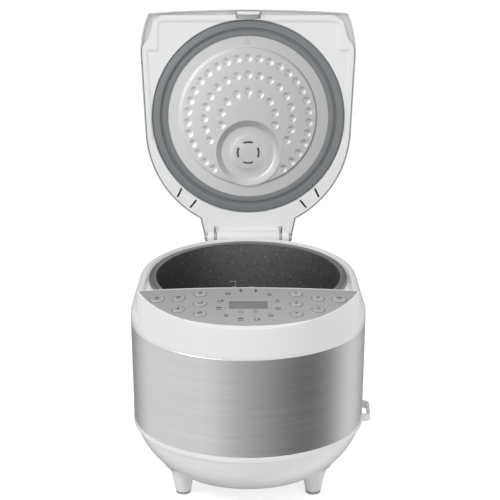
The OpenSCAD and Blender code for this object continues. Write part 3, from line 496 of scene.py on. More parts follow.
def pot_material():
    """Dark non-stick coating with a painted reflection that lightens its middle and painted shade that
    darkens its sides, and pale mineral specks of several sizes.
    """
    m = Mat("pot_coating").put(Roughness=0.42, Specular_IOR_Level=0.45)
    base = m.ramp(m.noise(260, 4, 0.6), [(0.3, (0.062, 0.062, 0.064)), (0.72, (0.105, 0.105, 0.108))])
    # painted reflection in the middle of the wall and painted shade toward its left and right
    painted_light = m.math("MULTIPLY", m.along("X", -0.115, -0.01, 0.45, 1.5), m.along("X", 0.01, 0.115, 1.0, 0.3))
    base = m.mix(1.0, base, painted_light, "MULTIPLY")
    for scale, size, bright in ((170, 0.085, 0.55), (380, 0.11, 0.38), (800, 0.13, 0.26)):
        cells = m.node("TexVoronoi", {"Scale": scale, "Vector": m.co.outputs["Object"]})
        spot = m.range(cells.outputs["Distance"], 1.0, 0.0, size * 0.7, size * 1.5)
        red = m.node("SeparateColor", {0: cells.outputs["Color"]}).outputs[0]
        pick = m.math("GREATER_THAN", red, 0.5)
        base = m.mix(m.math("MULTIPLY", spot, pick, True), base, (bright, bright, bright))
    m.colour(base)
    m.rough(m.range(m.noise(120, 3), 0.36, 0.5))
    m.bump(m.noise(900, 3, 0.6), 0.06)
    return m.m


def window_material():
    m = Mat("display_window").put(Roughness=0.12, Coat_Weight=0.6, Coat_Roughness=0.05)
    m.colour(m.ramp(m.noise(30, 2), [(0.3, (0.20, 0.205, 0.21)), (0.7, (0.225, 0.23, 0.235))]))
    m.rough(m.range(m.noise(200, 2), 0.10, 0.16))
    return m.m


M.update(steel=steel_material(), silver=panel_material(), inner=inner_lid_material(), pot=pot_material(),
         window=window_material())

# ------------ carried-over CAD nodes
NODE_LOOKS = {
    "white": "base_shell upper_collar paddle_holder lid_cover steam_cap",
    "lid_white": "lid_liner hinge_cover latch_hook",
    "steel": "steel_band",
    "silver": "control_panel release_button",
    "window": "display_window",
    "board": "control_board power_board",
    "grey": "display_module thermal_fuse steam_valve",
    "dark": "tact_switches power_inlet",
    "milky": "dew_cup",
    "cast": "heater_plate side_heater sensor_cap lid_heat_plate",
    "liner": "chamber_liner",
    "plated": "heater_element heater_posts sensor_bracket sensor_spring base_screws hinge_bracket"
              " hinge_screws hinge_pin hinge_spring lid_sensor lid_screws latch_spring",
    "brass": "inlet_pins",
    "pot": "pot",
    "inner": "inner_lid",
    "gasket": "steam_seal inner_lid_gasket",
    "pad": "foot_pads"}
NODE_MAT = {node: look for look, nodes in NODE_LOOKS.items() for node in nodes.split()}
for node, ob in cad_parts.items():
    mat = M[NODE_MAT.get(node, "key")]
    ob.data.materials.clear()
    ob.data.materials.append(mat)
    rework(ob.data, 30)

# ------------ body: band, base, collar
BAND_H = SEAM_HI - SEAM_LO
side = [(TAPER * (t - 1), SEAM_LO + 0.4 + (BAND_H - 0.8) * t) for t in np.linspace(0, 1, 11)]
side = [(-TAPER - 1.0, SEAM_LO), (-TAPER - 0.35, SEAM_LO), *side, (-0.35, SEAM_HI), (-1.0, SEAM_HI)]
band = body_sweep(side, loop=True)
around = OUT_S / (OUT_S[-1] + _seg[-1])
uv = np.stack([np.tile(around, len(band[0]) // len(OUT_P)), band[0][:, 2] * MM], 1)
piece("steel_band_skin", band, "steel", "cooker", 40, replaces=("steel_band",), uv=uv)


def bowl_curve():
    """The bowl's profile, a quarter of a rounded oval from the floor plate up to the seam."""
    top, p = SEAM_LO + 5, 1.2
    t0 = math.asin(((top - SEAM_LO + 7) / (top - BOWL_Z)) ** (1 / p))
    out = []
    for t in np.linspace(math.pi / 2, t0, 40):
        c = max(math.cos(t), 0.0)
        out.append((-TAPER - BOWL_IN * (1 - c**p), top - (top - BOWL_Z) * math.sin(t) ** p))
    return out


LIP = -TAPER + 0.4
lip_edge = round_corner((LIP - 1.2, SEAM_LO - 5.8), 1.2, -90, 0, 5)
lip_edge += round_corner((LIP - 0.7, SEAM_LO - 0.7), 0.7, 0, 90, 5)
base = body_sweep(bowl_curve() + lip_edge + [(-TAPER - 4, SEAM_LO)], cap=(True, False))
FEET = [(x, y) for x in (-80, 80) for y in (-113, 62)]
foot_curve = [(0.1, 2.02), (7.4, 2.02), (8.3, 2.3), (9.0, 3.0), (9.5, 4.2), (10.2, 8), (11.4, 14),
              (12.7, 20), (14.2, 26), (16.0, 31), (18.6, 35), (22.0, 38)]
feet = [revolve(foot_curve, 64, foot, loop=False) for foot in FEET]


def upright(plan, y, z0):
    """A plan in X and Z, set up at a depth y and centred on height z0."""
    return np.stack([plan[:, 0], np.full(len(plan), y), z0 + plan[:, 1]], 1)


# the inlet's pod behind the bowl, with a round outer edge and a square mouth
INLET_Z, POD_W, POD_H, POD_EDGE = SEAM_LO - 30, 64, 40, 2.5
MOUTH = rrect(28.8, 20.8, 0.5)
pod_rings = [upright(rrect(POD_W, POD_H, 4), 116, INLET_Z)]
for o, drop in rounding(POD_EDGE, np.linspace(0, 90, 7)):
    plan = rrect(POD_W - 2 * o, POD_H - 2 * o, 4 - o * 0.6)
    pod_rings.append(upright(plan, REAR_Y + 1 - drop, INLET_Z))
pod_rings += [upright(MOUTH, REAR_Y + 1, INLET_Z), upright(MOUTH, REAR_Y - 12, INLET_Z)]
pod = shell(pod_rings, cap=(False, False))
piece("base_skin", join(base, *feet, pod), "white", "cooker", 38, replaces=("base_shell",))

# floor vents and screw wells: dark insets that lie flush with the bottom, painted shade that stands in for
# their openings
vent = capsule_plan(36, 3, 8)[:, ::-1]
vents = [prism(vent, BOWL_Z - 0.06, BOWL_Z + 0.3, (i * 9, -18)) for i in range(-4, 5)]
piece("vent_painted_shade", join(*vents), "dark", "cooker")
WELL = [(3.9, BOWL_Z - 0.08), (3.9, BOWL_Z + 0.4)]
wells = [revolve(WELL, 40, (x, y), loop=False) for x in (-70, 70) for y in (-62, 62)]
piece("well_painted_shade", join(*wells), "dark", "cooker")

# ---- collar with the console
CONSOLE_TURN = math.degrees(math.asin((BELLY_Y - CONSOLE_Y + REAR_BOW) / CORNER_R))


def body_front(x, o):
    x = abs(x)
    if x < (FRONT_R + o) * SIN_T:
        return FRONT_C[1] - math.sqrt((FRONT_R + o) ** 2 - x * x)
    return CORNER_C[1] - math.sqrt(max((CORNER_R + o) ** 2 - (x - CORNER_C[0]) ** 2, 0))


def lens_front(x, o):
    y = FRONT_Y + MARGIN + LENS_R - math.sqrt((LENS_R + o) ** 2 - x * x)
    return max(y, body_front(x, o - LENS_EDGE))


def half_at(o, y):
    return CORNER_C[0] + math.sqrt((CORNER_R + o) ** 2 - (y - CORNER_C[1]) ** 2)


def panel_z(x, y):
    return CONSOLE_Z + (y + CONSOLE_Y) * math.tan(rad(TILT)) + crown_n(x) / math.cos(rad(TILT))


CONSOLE_W = half_at(0, REAR_BOW - CONSOLE_Y)


def bow(x):
    """How far the console's rear edge and the lid's front edge lie behind their middle."""
    return REAR_BOW * (x / CONSOLE_W) ** 2


def console_ring(lens, o, back, drop, z=0.0):
    """A ring of the console or its sunk lens, offset by o: at height z, or drop below the face."""
    steps = 110
    w = half_at(o - LENS_EDGE if lens else o, back + REAR_BOW)
    xs = [w * math.sin(rad(-90 + 180 * i / steps)) for i in range(steps + 1)]
    plan = [(x, min(back + bow(x), lens_front(x, o) if lens else body_front(x, o))) for x in xs]
    plan += [(x, back + bow(x)) for x in xs[-2:0:-1]]
    return np.array([(x, y, z if z > 0 else panel_z(x, y) - drop) for x, y in plan])


BACK = -CONSOLE_Y
RIM_BACK = BACK - 1.2
low = console_ring(False, 0, BACK, 0, SEAM_HI + 0.5)
high = console_ring(False, 0, BACK, EDGE)
rings = [console_ring(False, -0.9, BACK, 0, SEAM_HI), console_ring(False, -0.25, BACK, 0, SEAM_HI + 0.05)]
rings += [low + (high - low) * k for k in (0, 0.15, 0.5, 0.85)]
for o, drop in rounding(EDGE, np.linspace(0, 90, 8)):
    rings.append(console_ring(False, -o, BACK - 0.3 * o / EDGE, drop))
rings += [console_ring(True, 0.2, RIM_BACK + 0.1, 0.0), console_ring(True, 0.03, RIM_BACK + 0.02, 0.2),
          console_ring(True, 0, RIM_BACK, 0.6), console_ring(True, 0, RIM_BACK, 4.0),
          console_ring(True, -3.5, BACK - 4, 4.0), console_ring(True, -3.5, BACK - 4, 0, SEAM_HI)]
console = shell(rings, loop=True)


def collar_base():
    """The collar ring's outline, its normals, and how far it is tucked in under the console."""
    front, front_n = arc(FRONT_C, FRONT_R, -90, -90 + TURN, 12)
    bend, bend_n = arc(CORNER_C, CORNER_R, -90 + TURN, CONSOLE_TURN - 1, 8)
    rest, rest_n = side_and_back(CONSOLE_TURN - 0.2, (34, 12, 60))
    p = np.vstack([front, bend[1:], rest])
    n = np.vstack([front_n, bend_n[1:], rest_n])
    tuck = np.zeros(len(p))
    tuck[:len(front) + len(bend) - 1] = 2.0
    return mirrored(p), mirrored(n), np.concatenate([tuck, tuck[-2:0:-1]])


COL_P, COL_N, COL_T = collar_base()


def collar_plan(o):
    return COL_P + (o - COL_T)[:, None] * COL_N


def hole_plan(r):
    return COL_P / np.linalg.norm(COL_P, axis=1)[:, None] * r


# (offset, height) round the ring's section: outside, shoulder, gutter, deck, pot opening, inside
SHOULDER, GUTTER = 8.0, 4.0
section = [(-1.0, SEAM_HI), (-0.25, SEAM_HI), (0, SEAM_HI + 0.5)]
section += [(-o, DECK_Z - drop) for o, drop in rounding(SHOULDER, np.linspace(0, 90, 12))]
section += [(-9.2, DECK_Z), (-9.6, DECK_Z - 0.15), (-9.8, DECK_Z - 0.6), (-9.9, DECK_Z - GUTTER),
            (-14.2, DECK_Z - GUTTER), (-14.3, DECK_Z - 0.7), (-14.6, DECK_Z - 0.2), (-15.0, DECK_Z - 0.05)]
opening = [(122.5, DECK_Z - 0.05), (121.2, DECK_Z - 0.6), (121, DECK_Z - 3), (123, DECK_Z - 8)]
rings = [at_z(collar_plan(o), z) for o, z in section] + [at_z(hole_plan(r), z) for r, z in opening]
rings += [at_z(collar_plan(-3.7), DECK_Z - 10), at_z(collar_plan(-3.7), SEAM_HI)]
ring = shell(rings, loop=True)
ring_piece = piece("collar_ring_skin", ring, "white", "cooker", 33, replaces=("upper_collar",))
cut(ring_piece, block(-17, 17, BACK + 2.5, BACK + 13.5, DECK_Z - 12, DECK_Z + 5), angle=33)

# hinge housing, its two ears and the rails of the dew cup
TOWER_Z = HINGE_Z - 20
housing = bar(-60, 60, REAR_Y - 19, HINGE_Y + 12, TOWER_Z - 10, TOWER_Z, 2.0)


def along_x(prof, x0, x1, r, share=0.3):
    """A bar with a profile in Y and Z, its two end faces edged with a small rounding."""
    prof = np.array(prof, float)
    d = prof - prof.mean(0)
    knee = share * r
    rings = []
    for x, q in ((x0, r), (x0 + knee, knee), (x0 + r, 0), (x1 - r, 0), (x1 - knee, knee), (x1, r)):
        pts = prof - d * (q / np.linalg.norm(d, axis=1))[:, None]
        rings.append(np.column_stack([np.full(len(pts), x), pts]))
    return shell(rings)


def both_sides(x0, x1):
    """The spans from x0 to x1 on the right, and its mirror image on the left."""
    return (-x1, -x0), (x0, x1)


def about_hinge(r, a0, a1, n):
    """Points in Y and Z on an arc about the hinge's axis."""
    return round_corner((HINGE_Y, HINGE_Z), r, a0, a1, n)


EAR_R = 9.0
ear = [(HINGE_Y + EAR_R, TOWER_Z - 2), *about_hinge(EAR_R, 0, 180, 28), (HINGE_Y - EAR_R, TOWER_Z - 2)]
parts = [console, housing]
parts += [along_x(ear, *span, 0.7, 2 / 7) for span in both_sides(44.5, 53.5)]
parts += [bar(*span, REAR_Y - 2, HINGE_Y + 10, TOWER_Z - 14, TOWER_Z - 9, 0.4)
          for span in both_sides(34.7, 37.1)]
piece("collar_skin", join(*parts), "white", "cooker", 33, replaces=("upper_collar",))


# ---- panel: a crowned lens with openings for the keys and the window
def lens_sheet(thick):
    """The panel's plate as a closed grid between its front and back edges, just inside the lens."""
    o, steps, rows = -0.3, 96, 14
    w = half_at(o - LENS_EDGE, BACK + REAR_BOW)
    xs = [w * math.sin(rad(-89.6 + 179.2 * i / steps)) for i in range(steps + 1)]
    verts, faces = [], []
    for drop in (0.0, thick):
        for x in xs:
            y1 = RIM_BACK + o + bow(x)
            y0 = min(RIM_BACK - o + bow(x) - 0.02, lens_front(x, o), y1 - 0.05)
            ys = [y0 + (y1 - y0) * j / rows for j in range(rows + 1)]
            verts += [(x, y, panel_z(x, y) - drop) for y in ys]
    k = rows + 1
    low = k * (steps + 1)
    for i in range(steps):
        for j in range(rows):
            a, b = i * k + j, (i + 1) * k + j
            faces += [(a, b, b + 1, a + 1), (low + a, low + a + 1, low + b + 1, low + b)]
        for j in (0, rows):
            a, b = i * k + j, (i + 1) * k + j
            faces.append((a, b, low + b, low + a))
    for a in [i * k + j for i in (0, steps) for j in range(rows)]:
        faces.append((a, a + 1, low + a + 1, low + a))
    return np.array(verts), faces


CONSOLE_D = -CONSOLE_Y - FRONT_Y
COLS = [CONSOLE_W * c for c in (0.4288, 0.624, 0.8154)]
ROWS = [[-CONSOLE_D * r for r in rows] for rows in ((0.145, 0.3955, 0.646), (0.2373, 0.514), (0.2175,))]
KEYS = [(COLS[c], v, c == 2) for c in range(3) for v in ROWS[c]]
WINDOW_V, WINDOW_W, WINDOW_D = -0.448 * CONSOLE_D, 45.0, 14.0


def on_face(p, x, v):
    """Points given about a place on the panel, laid on its crown and turned to its lean."""
    a = math.asin(x / CROWN_R)
    c, s_ = math.cos(a), math.sin(a)
    p = np.asarray(p, float)
    up = p[:, 2] * c - p[:, 0] * s_ + float(crown_n(x))
    return on_panel(np.stack([p[:, 0] * c + p[:, 2] * s_ + x, p[:, 1] + v, up], 1))


def key_plan(big, o):
    return capsule_plan((17 if big else 15) + 2 * o, (14.6 if big else 12.2) + 2 * o, 16)


def on_window(inset, r, z):
    return on_face(at_z(rrect(WINDOW_W - inset, WINDOW_D - inset, r), z), 0, WINDOW_V)


panel_piece = piece("panel_skin", lens_sheet(3.0), "silver", "cooker", 40, replaces=("control_panel",))
holes = [shell([on_face(at_z(key_plan(big, 0.45), z), m * x, v) for z in (-6, 3)])
         for m in (-1, 1) for x, v, big in KEYS]
holes.append(shell([on_window(0, 1.2, z) for z in (-1.2, 3)]))
cut(panel_piece, *holes, angle=30)
glass = shell([on_window(0.5, 1.0, -1.5), on_window(0.5, 1.0, -0.45), on_window(1.1, 0.8, -0.25)])
piece("window_skin", glass, "window", "cooker", 25, replaces=("display_window",))


def flat_line(pts, w, closed=False):
    """A mark drawn as a ribbon of width w along points of the panel's face."""
    pts = np.array(pts, float)
    if closed:
        d = np.roll(pts, -1, 0) - np.roll(pts, 1, 0)
    else:
        d = np.gradient(pts, axis=0)
    n = np.stack([d[:, 1], -d[:, 0]], 1) / np.maximum(np.linalg.norm(d, axis=1), 1e-9)[:, None]
    w = w * STROKE
    left, right = pts + n * w / 2, pts - n * w / 2
    k = len(pts)
    verts = np.vstack([left, right])
    faces = [(i, (i + 1) % k, k + (i + 1) % k, k + i) for i in range(k if closed else k - 1)]
    return at_z(verts, MARK_H), faces


MARK_H, STROKE = 0.04, 1.35


def ring_mark(c, r, w=0.5, a0=0, a1=360):
    pts = arc(c, r, a0, a1, 25)[0]
    return flat_line(pts[:-1], w, True) if a1 - a0 == 360 else flat_line(pts, w)


def dot_mark(c, r=0.55):
    return solid_mark(circle(r, 12) + np.array(c))


def solid_mark(pts):
    v = np.vstack([np.array(pts, float), [np.mean(pts, 0)]])
    return at_z(v, MARK_H), [(i, (i + 1) % len(pts), len(pts)) for i in range(len(pts))]


def dash(a, b, w=0.5):
    return flat_line(np.linspace(a, b, 4), w)


# the strokes of each sign, in millimetres about its middle
SIGNS = {
    "bowl": [ring_mark((0, 0.4), 2.1, 0.5, 180, 360), dash((-2.6, 0.4), (2.6, 0.4)),
             *(dash((x, 1.3), (x, 2.6), 0.45) for x in (-1.0, 1.0))],
    "pot": [flat_line([(-2.1, -1.8), (2.1, -1.8), (2.1, 0.8), (-2.1, 0.8)], 0.5, True),
            dash((-2.5, 1.5), (2.5, 1.5)), dot_mark((0, 2.2), 0.4)],
    "cake": [flat_line([(-2.3, -1.6), (2.3, -1.6), (0, 2.2)], 0.5, True), dash((-1.3, 0), (1.3, 0))],
    "fish": [ring_mark((-0.6, 0), 1.5), solid_mark([(0.8, 0), (2.4, 1.3), (2.4, -1.3)])],
    "drop": [ring_mark((0, -0.6), 1.4), dash((0, 0.9), (0, 2.4))],
    "cup": [flat_line([(-1.8, 1.8), (-1.3, -1.8), (1.3, -1.8), (1.8, 1.8)], 0.5),
            ring_mark((2.2, 0.4), 0.9, 0.4)],
    "flame": [solid_mark([(0, 2.4), (-1.5, -0.4), (0, -2), (1.5, -0.4)])],
    "grid": [dash((-2, y), (2, y), 0.45) for y in (-1.4, 0, 1.4)],
    "wheat": [dash((0, -2.3), (0, 2.3)),
              *(dash((0, y), (m * 1.6, y + 1.2), 0.45) for y in (-1.4, 0.2) for m in (-1, 1))],
    "up": [solid_mark([(-1.8, -1.0), (1.8, -1.0), (0, 1.6)])],
    "down": [solid_mark([(-1.8, 1.0), (1.8, 1.0), (0, -1.6)])],
    "clock": [ring_mark((0, 0), 1.5, 0.45), dash((0, 0), (0, 1.1), 0.4)],
    "dial": [ring_mark((0, 0), 2.3, 0.4), dash((0, 0), (0, 1.3), 0.4)]}
# places round the window: across, and up the slope from the rear edge
SIGN_SPOTS = [(-23.7, -12.2, "bowl"), (-8.8, -6.4, "wheat"), (9.0, -6.8, "flame"), (24.9, -13.1, "drop"),
              (-33.1, -25.7, "cup"), (34.2, -25.7, "cake"), (-34.0, -39.8, "pot"), (34.6, -40.1, "fish"),
              (-25.6, -53.3, "grid"), (25.8, -53.3, "bowl"), (-8.8, -60.8, "pot"), (9.9, -61.1, "cup")]
DOT_SPOTS = [(0, -19.7), (-27, -26.6), (27, -26.4), (-27, -38.6), (27, -38.6), (-20.4, -49.1),
             (20.2, -49.1), (-7.5, -54.8), (7.5, -54.8)]
DIAL_SPOTS = [(-8.4, -46.7), (8.6, -46.7)]


def moved(mark, x, v, k=1.0, z=0.0):
    """A mark made k times as large and laid on the panel, or z above its face."""
    verts, faces = mark
    return on_face(verts * np.array([k, k, 1]) + np.array([0, 0, z]), x, v), faces


parts = [moved(mark, x, y, 1.3) for x, y, sign in SIGN_SPOTS for mark in SIGNS[sign]]
parts += [moved(dot_mark((0, 0)), x, y) for x, y in DOT_SPOTS]
parts += [moved(mark, x, y) for x, y in DIAL_SPOTS for mark in SIGNS["dial"]]
piece("panel_marks", join(*parts), "print", "cooker")


# ---- keys: raised silver capsules with a dark printed sign each
KEY_SIGNS = {-1: ("grid", "cup", "bowl", "pot", "flame", "drop"),
             1: ("up", "clock", "down", "wheat", "cake", "bowl")}
# (inset, height) from the foot of a key up to its flat top
KEY_SIDE = [(0.0, -2.2), (0.0, 0.35), (-0.15, 0.75), (-0.55, 1.15), (-1.2, 1.42), (-2.0, 1.56), (-3.4, 1.6)]
for m, side in ((-1, "left"), (1, "right")):
    for i, (x, v, big) in enumerate(KEYS):
        body = f"key_{side}_{i + 1}"
        cap = shell([on_face(at_z(key_plan(big, o), z), m * x, v) for o, z in KEY_SIDE])
        piece(body + "_skin", cap, "key", body, 50, replaces=(body,))
        sign = [moved(mark, m * x, v, 1.3 if big else 1.05, 1.63) for mark in SIGNS[KEY_SIGNS[m][i]]]
        piece(body + "_sign", join(*sign), "print", body)


# ------------ pot
def wall_profile(r, h0, corner):
    """From the centre of a cup's floor up to the top of its wall."""
    return [(0.05, h0), (r - corner, h0)] + round_corner((r - corner, h0 + corner), corner, -84, 0, 14)


POT_R, POT_T = 116.0, 2.0
prof = wall_profile(POT_R, POT_Z, 30) + [(POT_R, RIM_Z - 3.2), (POT_R + 0.3, RIM_Z - 3)]
prof += round_corner((RIM_R - 1.5, RIM_Z - 1.5), 1.5, -90, 90, 12)
prof += [(115.6, RIM_Z), (114.9, RIM_Z - 0.15), (114.3, RIM_Z - 0.55), (114.02, RIM_Z - 1.2)]
prof += wall_profile(POT_R - POT_T, POT_Z + POT_T, 28)[::-1]
pot_piece = piece("pot_skin", revolve(prof, 200, loop=False), "pot", "pot", 40, replaces=("pot",))


def paint(ob, look, pick):
    """Gives the faces that pick(centre in millimetres) chooses another look."""
    ob.data.materials.append(M[look])
    k = len(ob.data.materials) - 1
    for p in ob.data.polygons:
        c = p.center
        if pick(c.x / MM - SX, c.y / MM - SY, c.z / MM):
            p.material_index = k


def on_flange(x, y, z):
    r = math.hypot(x, y)
    return r > 115.2 or z < RIM_Z - 1.5 and r > 115


paint(pot_piece, "rim", on_flange)


# plain level marks on the wall: an upright line with short ticks, in two columns
def wall_strip(a0, a1, z0, z1):
    """A thin strip just proud of the pot's wall, between two turns in degrees from the back."""
    plan = arc((0, 0), POT_R - POT_T - 0.04, 90 - a0, 90 - a1, 5)[0]
    return np.vstack([at_z(plan, z0), at_z(plan, z1)]), [(i, i + 1, 6 + i, 5 + i) for i in range(4)]


TICK_STEP, TICK_H, LONG_TICK, SHORT_TICK = 7, 0.8, 4.2, 2.4
parts = []
for turn, top, count, way in ((-8.2, RIM_Z - 52, 8, -1), (0.6, RIM_Z - 60, 7, 1)):
    parts.append(wall_strip(turn - 0.2, turn + 0.2, top - TICK_STEP * (count - 1), top))
    for i in range(count):
        end = turn + way * (SHORT_TICK if i % 2 else LONG_TICK)
        parts.append(wall_strip(*sorted((turn, end)), top - TICK_STEP * i - TICK_H, top - TICK_STEP * i))
piece("level_marks", join(*parts), "mark", "pot")

# ------------ lid, drawn shut and swung open
LID_Z = DECK_Z + 1.5
FACE_Z = DECK_Z + 8
LID_FRONT = -CONSOLE_Y + 1
LID_MID = np.array([0.0, -5.0])
CORNER = 4.0
LC_Y = LID_FRONT + REAR_BOW + CORNER
LC = (CORNER_C[0] + math.sqrt((CORNER_R - CORNER) ** 2 - (LC_Y - CORNER_C[1]) ** 2), LC_Y)
LC_TURN = math.degrees(math.atan2(LC[1] - CORNER_C[1], LC[0] - CORNER_C[0]))
NECK_ROOT, NECK_R = 63.5, 4.5
NECK_TURN = math.degrees(math.acos(NECK_ROOT / BACK_R))
NECK_BACK = HINGE_Y + 8


def lid_plan():
    """The lid's outline: bowed front, sharp corners, the body's sides and back, and the tapered neck."""
    front = np.array([(x, LID_FRONT + bow(x)) for x in np.linspace(0, LC[0], 24)])
    corner = arc(LC, CORNER, -90, LC_TURN, 10)[0][1:]
    side = arc(CORNER_C, CORNER_R, LC_TURN, SIDE_TURN, 30)[0][1:]
    back = arc((0, BACK_Y), BACK_R, SIDE_TURN, NECK_TURN, 40)[0]
    end = arc((NECK_X - NECK_R, NECK_BACK - NECK_R), NECK_R, 12, 90, 8)[0]
    neck = between(back[-1], end[0], 12)
    rear = np.array([(x, NECK_BACK) for x in np.linspace(end[-1][0], 0, 14)[1:]])
    flat = between(side[-1], back[0], 12)
    return mirrored(np.vstack([front, corner, side, flat, back, neck, end, rear]))


LID_P = lid_plan()
LID_N = normals(LID_P)


def dome_z(q):
    return LID_TOP - LID_CROWN + np.sqrt(LID_CROWN**2 - q[:, 0] ** 2 - (q[:, 1] + 20) ** 2)


def lid_ring(o, pull, share, drop, z=None):
    """The outline offset by o, drawn in by pull, shrunk by share: at height z, or drop below the dome."""
    d = LID_P + o * LID_N - LID_MID
    q = LID_MID + d * (share * (1 - pull / np.linalg.norm(d, axis=1)))[:, None]
    return at_z(q, dome_z(q) - drop if z is None else z)


def lid_side(o, drop, r, shares):
    """The dome's rings from its middle to its edge, and the edge's rounding of radius r."""
    rings = [lid_ring(o, r, share, drop) for share in shares]
    edge = rounding(r, np.linspace(90, 0, 13))
    return rings + [lid_ring(o, inset, 1, drop + fall) for inset, fall in edge]


SHARES = [0.08, 0.16, 0.25, 0.34, 0.43, 0.52, 0.61, 0.7, 0.79, 0.87, 0.94]
# (offset, height over the lid's lower edge) of the rim's slope
RIM_SLOPE = [(-2.5, 6.4), (-2.0, 4.4), (-1.0, 1.2), (-0.6, 0.2), (-0.3, 0.0), (-0.08, 0.2), (0, 0.7)]
rim = [lid_ring(o, 0, 1, 0, LID_Z + h) for o, h in RIM_SLOPE]
cover = shell(lid_side(-2.5, 2.5, 9.5, SHARES[::2]) + rim + lid_side(0, 0, 12, SHARES)[::-1])
cover_piece = piece("lid_cover_skin", opened(cover), "white", "lid", 40, replaces=("lid_cover",))
# room for the housing's ears in the lid's neck
EARS = [block(*span, HINGE_Y - 6.4, NECK_BACK + 1, LID_Z - 1, HINGE_Z + 12.5)
        for span in both_sides(41.3, 54.5)]
STEAM_HOLE = prism(circle(20.3), FACE_Z + 20, 310, (0, STEAM_Y))
BUTTON_HOLE = prism(capsule_plan(47, 19, 20), FACE_Z + 20, 310, (0, BUTTON_Y))
cut(cover_piece, *(opened(tool) for tool in (STEAM_HOLE, BUTTON_HOLE, *EARS)))


# ---- relief of the liner and the inner lid, from distances to outlines
def poly_dist(p, poly):
    """Distance from points to a closed outline, negative inside, worked out 4000 points at a time."""
    a, ab = poly, np.roll(poly, -1, 0) - poly
    rise = np.where(ab[:, 1] == 0, 1e-9, ab[:, 1])
    out = np.empty(len(p))
    for i in range(0, len(p), 4000):
        q = p[i:i + 4000, None]
        t = np.clip(((q - a) * ab).sum(2) / (ab**2).sum(1), 0, 1)
        d = np.linalg.norm(q - (a + t[..., None] * ab), axis=2).min(1)
        spans = (a[:, 1] > q[..., 1]) != (a[:, 1] + ab[:, 1] > q[..., 1])
        left = q[..., 0] < a[:, 0] + (q[..., 1] - a[:, 1]) / rise * ab[:, 0]
        out[i:i + 4000] = np.where((spans & left).sum(1) % 2 == 1, -d, d)
    return out


def rect_dist(p, x1, y0, y1, r):
    """Distance from points to a round-cornered rectangle, symmetric in x, negative inside."""
    d = np.abs(p - np.array([0, (y0 + y1) / 2])) - np.array([x1 - r, (y1 - y0) / 2 - r])
    return np.linalg.norm(np.maximum(d, 0), axis=1) + np.minimum(d.max(1), 0) - r


def ease(d, w):
    """0 inside an outline and 1 outside it, over a width w."""
    t = np.clip(d / w + 0.5, 0, 1)
    return t * t * (3 - 2 * t)


RECESS_R = 127.2
FRAME_FRONT, FRAME_X, FRAME_R = LID_FRONT + 7, 126.8, 16.0
UNDER_Z = LID_Z + 0.6


_c = (FRAME_X - FRAME_R, FRAME_FRONT + FRAME_R)
_half = [*arc(_c, FRAME_R, -90, -12, 12)[0], (130.5, -104), (139, -92), (145, -80), (145, 190)]
FRAME_P = np.vstack([_half, _half[::-1] * np.array([-1, 1])])


def liner_z(p):
    """Height of the liner's face: a strip sunk outside the frame, and a panel raised inside the frame."""
    body = poly_dist(p, OUT_P)
    frame_d = poly_dist(p, FRAME_P)
    upper = np.maximum(body + 9.3, rect_dist(p, HALF_W - 23.6, LID_FRONT + 15.6, -40, 7))
    lower = np.maximum(body + 9.3, rect_dist(p, 150, LID_FRONT + 53.7, 33.7, 7))
    inside = np.minimum(upper, lower)
    return UNDER_Z + 5.4 * ease(frame_d, 1.4) + 2.0 * (1 - ease(inside, 2.6))


LINER_P = LID_P - 2.6 * LID_N
_unit = LINER_P / np.linalg.norm(LINER_P, axis=1)[:, None]
edge = _unit * RECESS_R
rings = [at_z(_unit * 110, FACE_Z + 2.4), at_z(_unit * 110, FACE_Z + 0.2), at_z(edge, FACE_Z + 0.2)]
rings.append(at_z(edge, liner_z(edge) + 0.3))
for t in np.linspace(0.004, 1, 60):
    q = _unit * (RECESS_R + 0.3) * (1 - t) + LINER_P * t
    rings.append(at_z(q, liner_z(q)))
rings.append(at_z(LINER_P, FACE_Z + 2.4))
liner = opened(shell(rings, loop=True))
liner_piece = piece("lid_liner_skin", liner, "lid_white", "lid", 30, replaces=("lid_liner",))


def in_strip(x, y, z):
    """Whether a point of the open lid lies in the sunk strip outside the liner's front frame."""
    q = swung((x, y, z), LID_OPEN)
    if q[1] >= -80 or not UNDER_Z + 2.5 < q[2] < FACE_Z + 0.1 or np.linalg.norm(q[:2]) <= RECESS_R + 3:
        return False
    return q[1] < FRAME_FRONT or poly_dist(q[None, :2], FRAME_P)[0] > 0


def turned(plan, centre, angle):
    c, s_ = math.cos(rad(angle)), math.sin(rad(angle))
    return plan @ np.array([[c, s_], [-s_, c]]) + np.array(centre)


TAB_SLITS = [((90.6, 100.8), 65.0), ((72.5, 115.5), 50.0)]
slits = []
for (x, y), turn in TAB_SLITS:
    for m in (-1, 1):
        plan = turned(capsule_plan(13.5, 2.4, 8), (m * x, y), turn if m > 0 else 180 - turn)
        slits.append(prism(plan, LID_Z - 1, FACE_Z + 4))
slits += [block(*span, 145.5, HINGE_Y - 6.5, LID_Z - 1, FACE_Z + 4) for span in both_sides(43.3, 44.6)]
LATCH_SLOT = block(-16.2, 16.2, LID_FRONT + 3.0, LID_FRONT + 12.4, LID_Z - 2, FACE_Z + 4)
# the sunk strip's faces take a darker grey: painted shade of the recess
paint(liner_piece, "groove", in_strip)
cut(liner_piece, *(opened(tool) for tool in (*slits, LATCH_SLOT, *EARS)), angle=30)

# a flange on the latch hook fills the slot from behind and slides with it
flange = block(-18, 18, LID_FRONT + 3.4, LID_FRONT + 14, FACE_Z + 2.7, FACE_Z + 3.5)
piece("latch_flange", opened(flange), "lid_white", "latch")


WEB = [(151.5, 238), (165, 238), (166, 247), (150.5, 247)]
BARREL = about_hinge(8.9, 0, 351, 40)
parts = [along_x(plan, *span, r) for plan, r in ((BARREL, 0.6), (WEB, 0.3)) for span in both_sides(14, 41)]
piece("hinge_barrel", opened(join(*parts)), "lid_white", "lid")

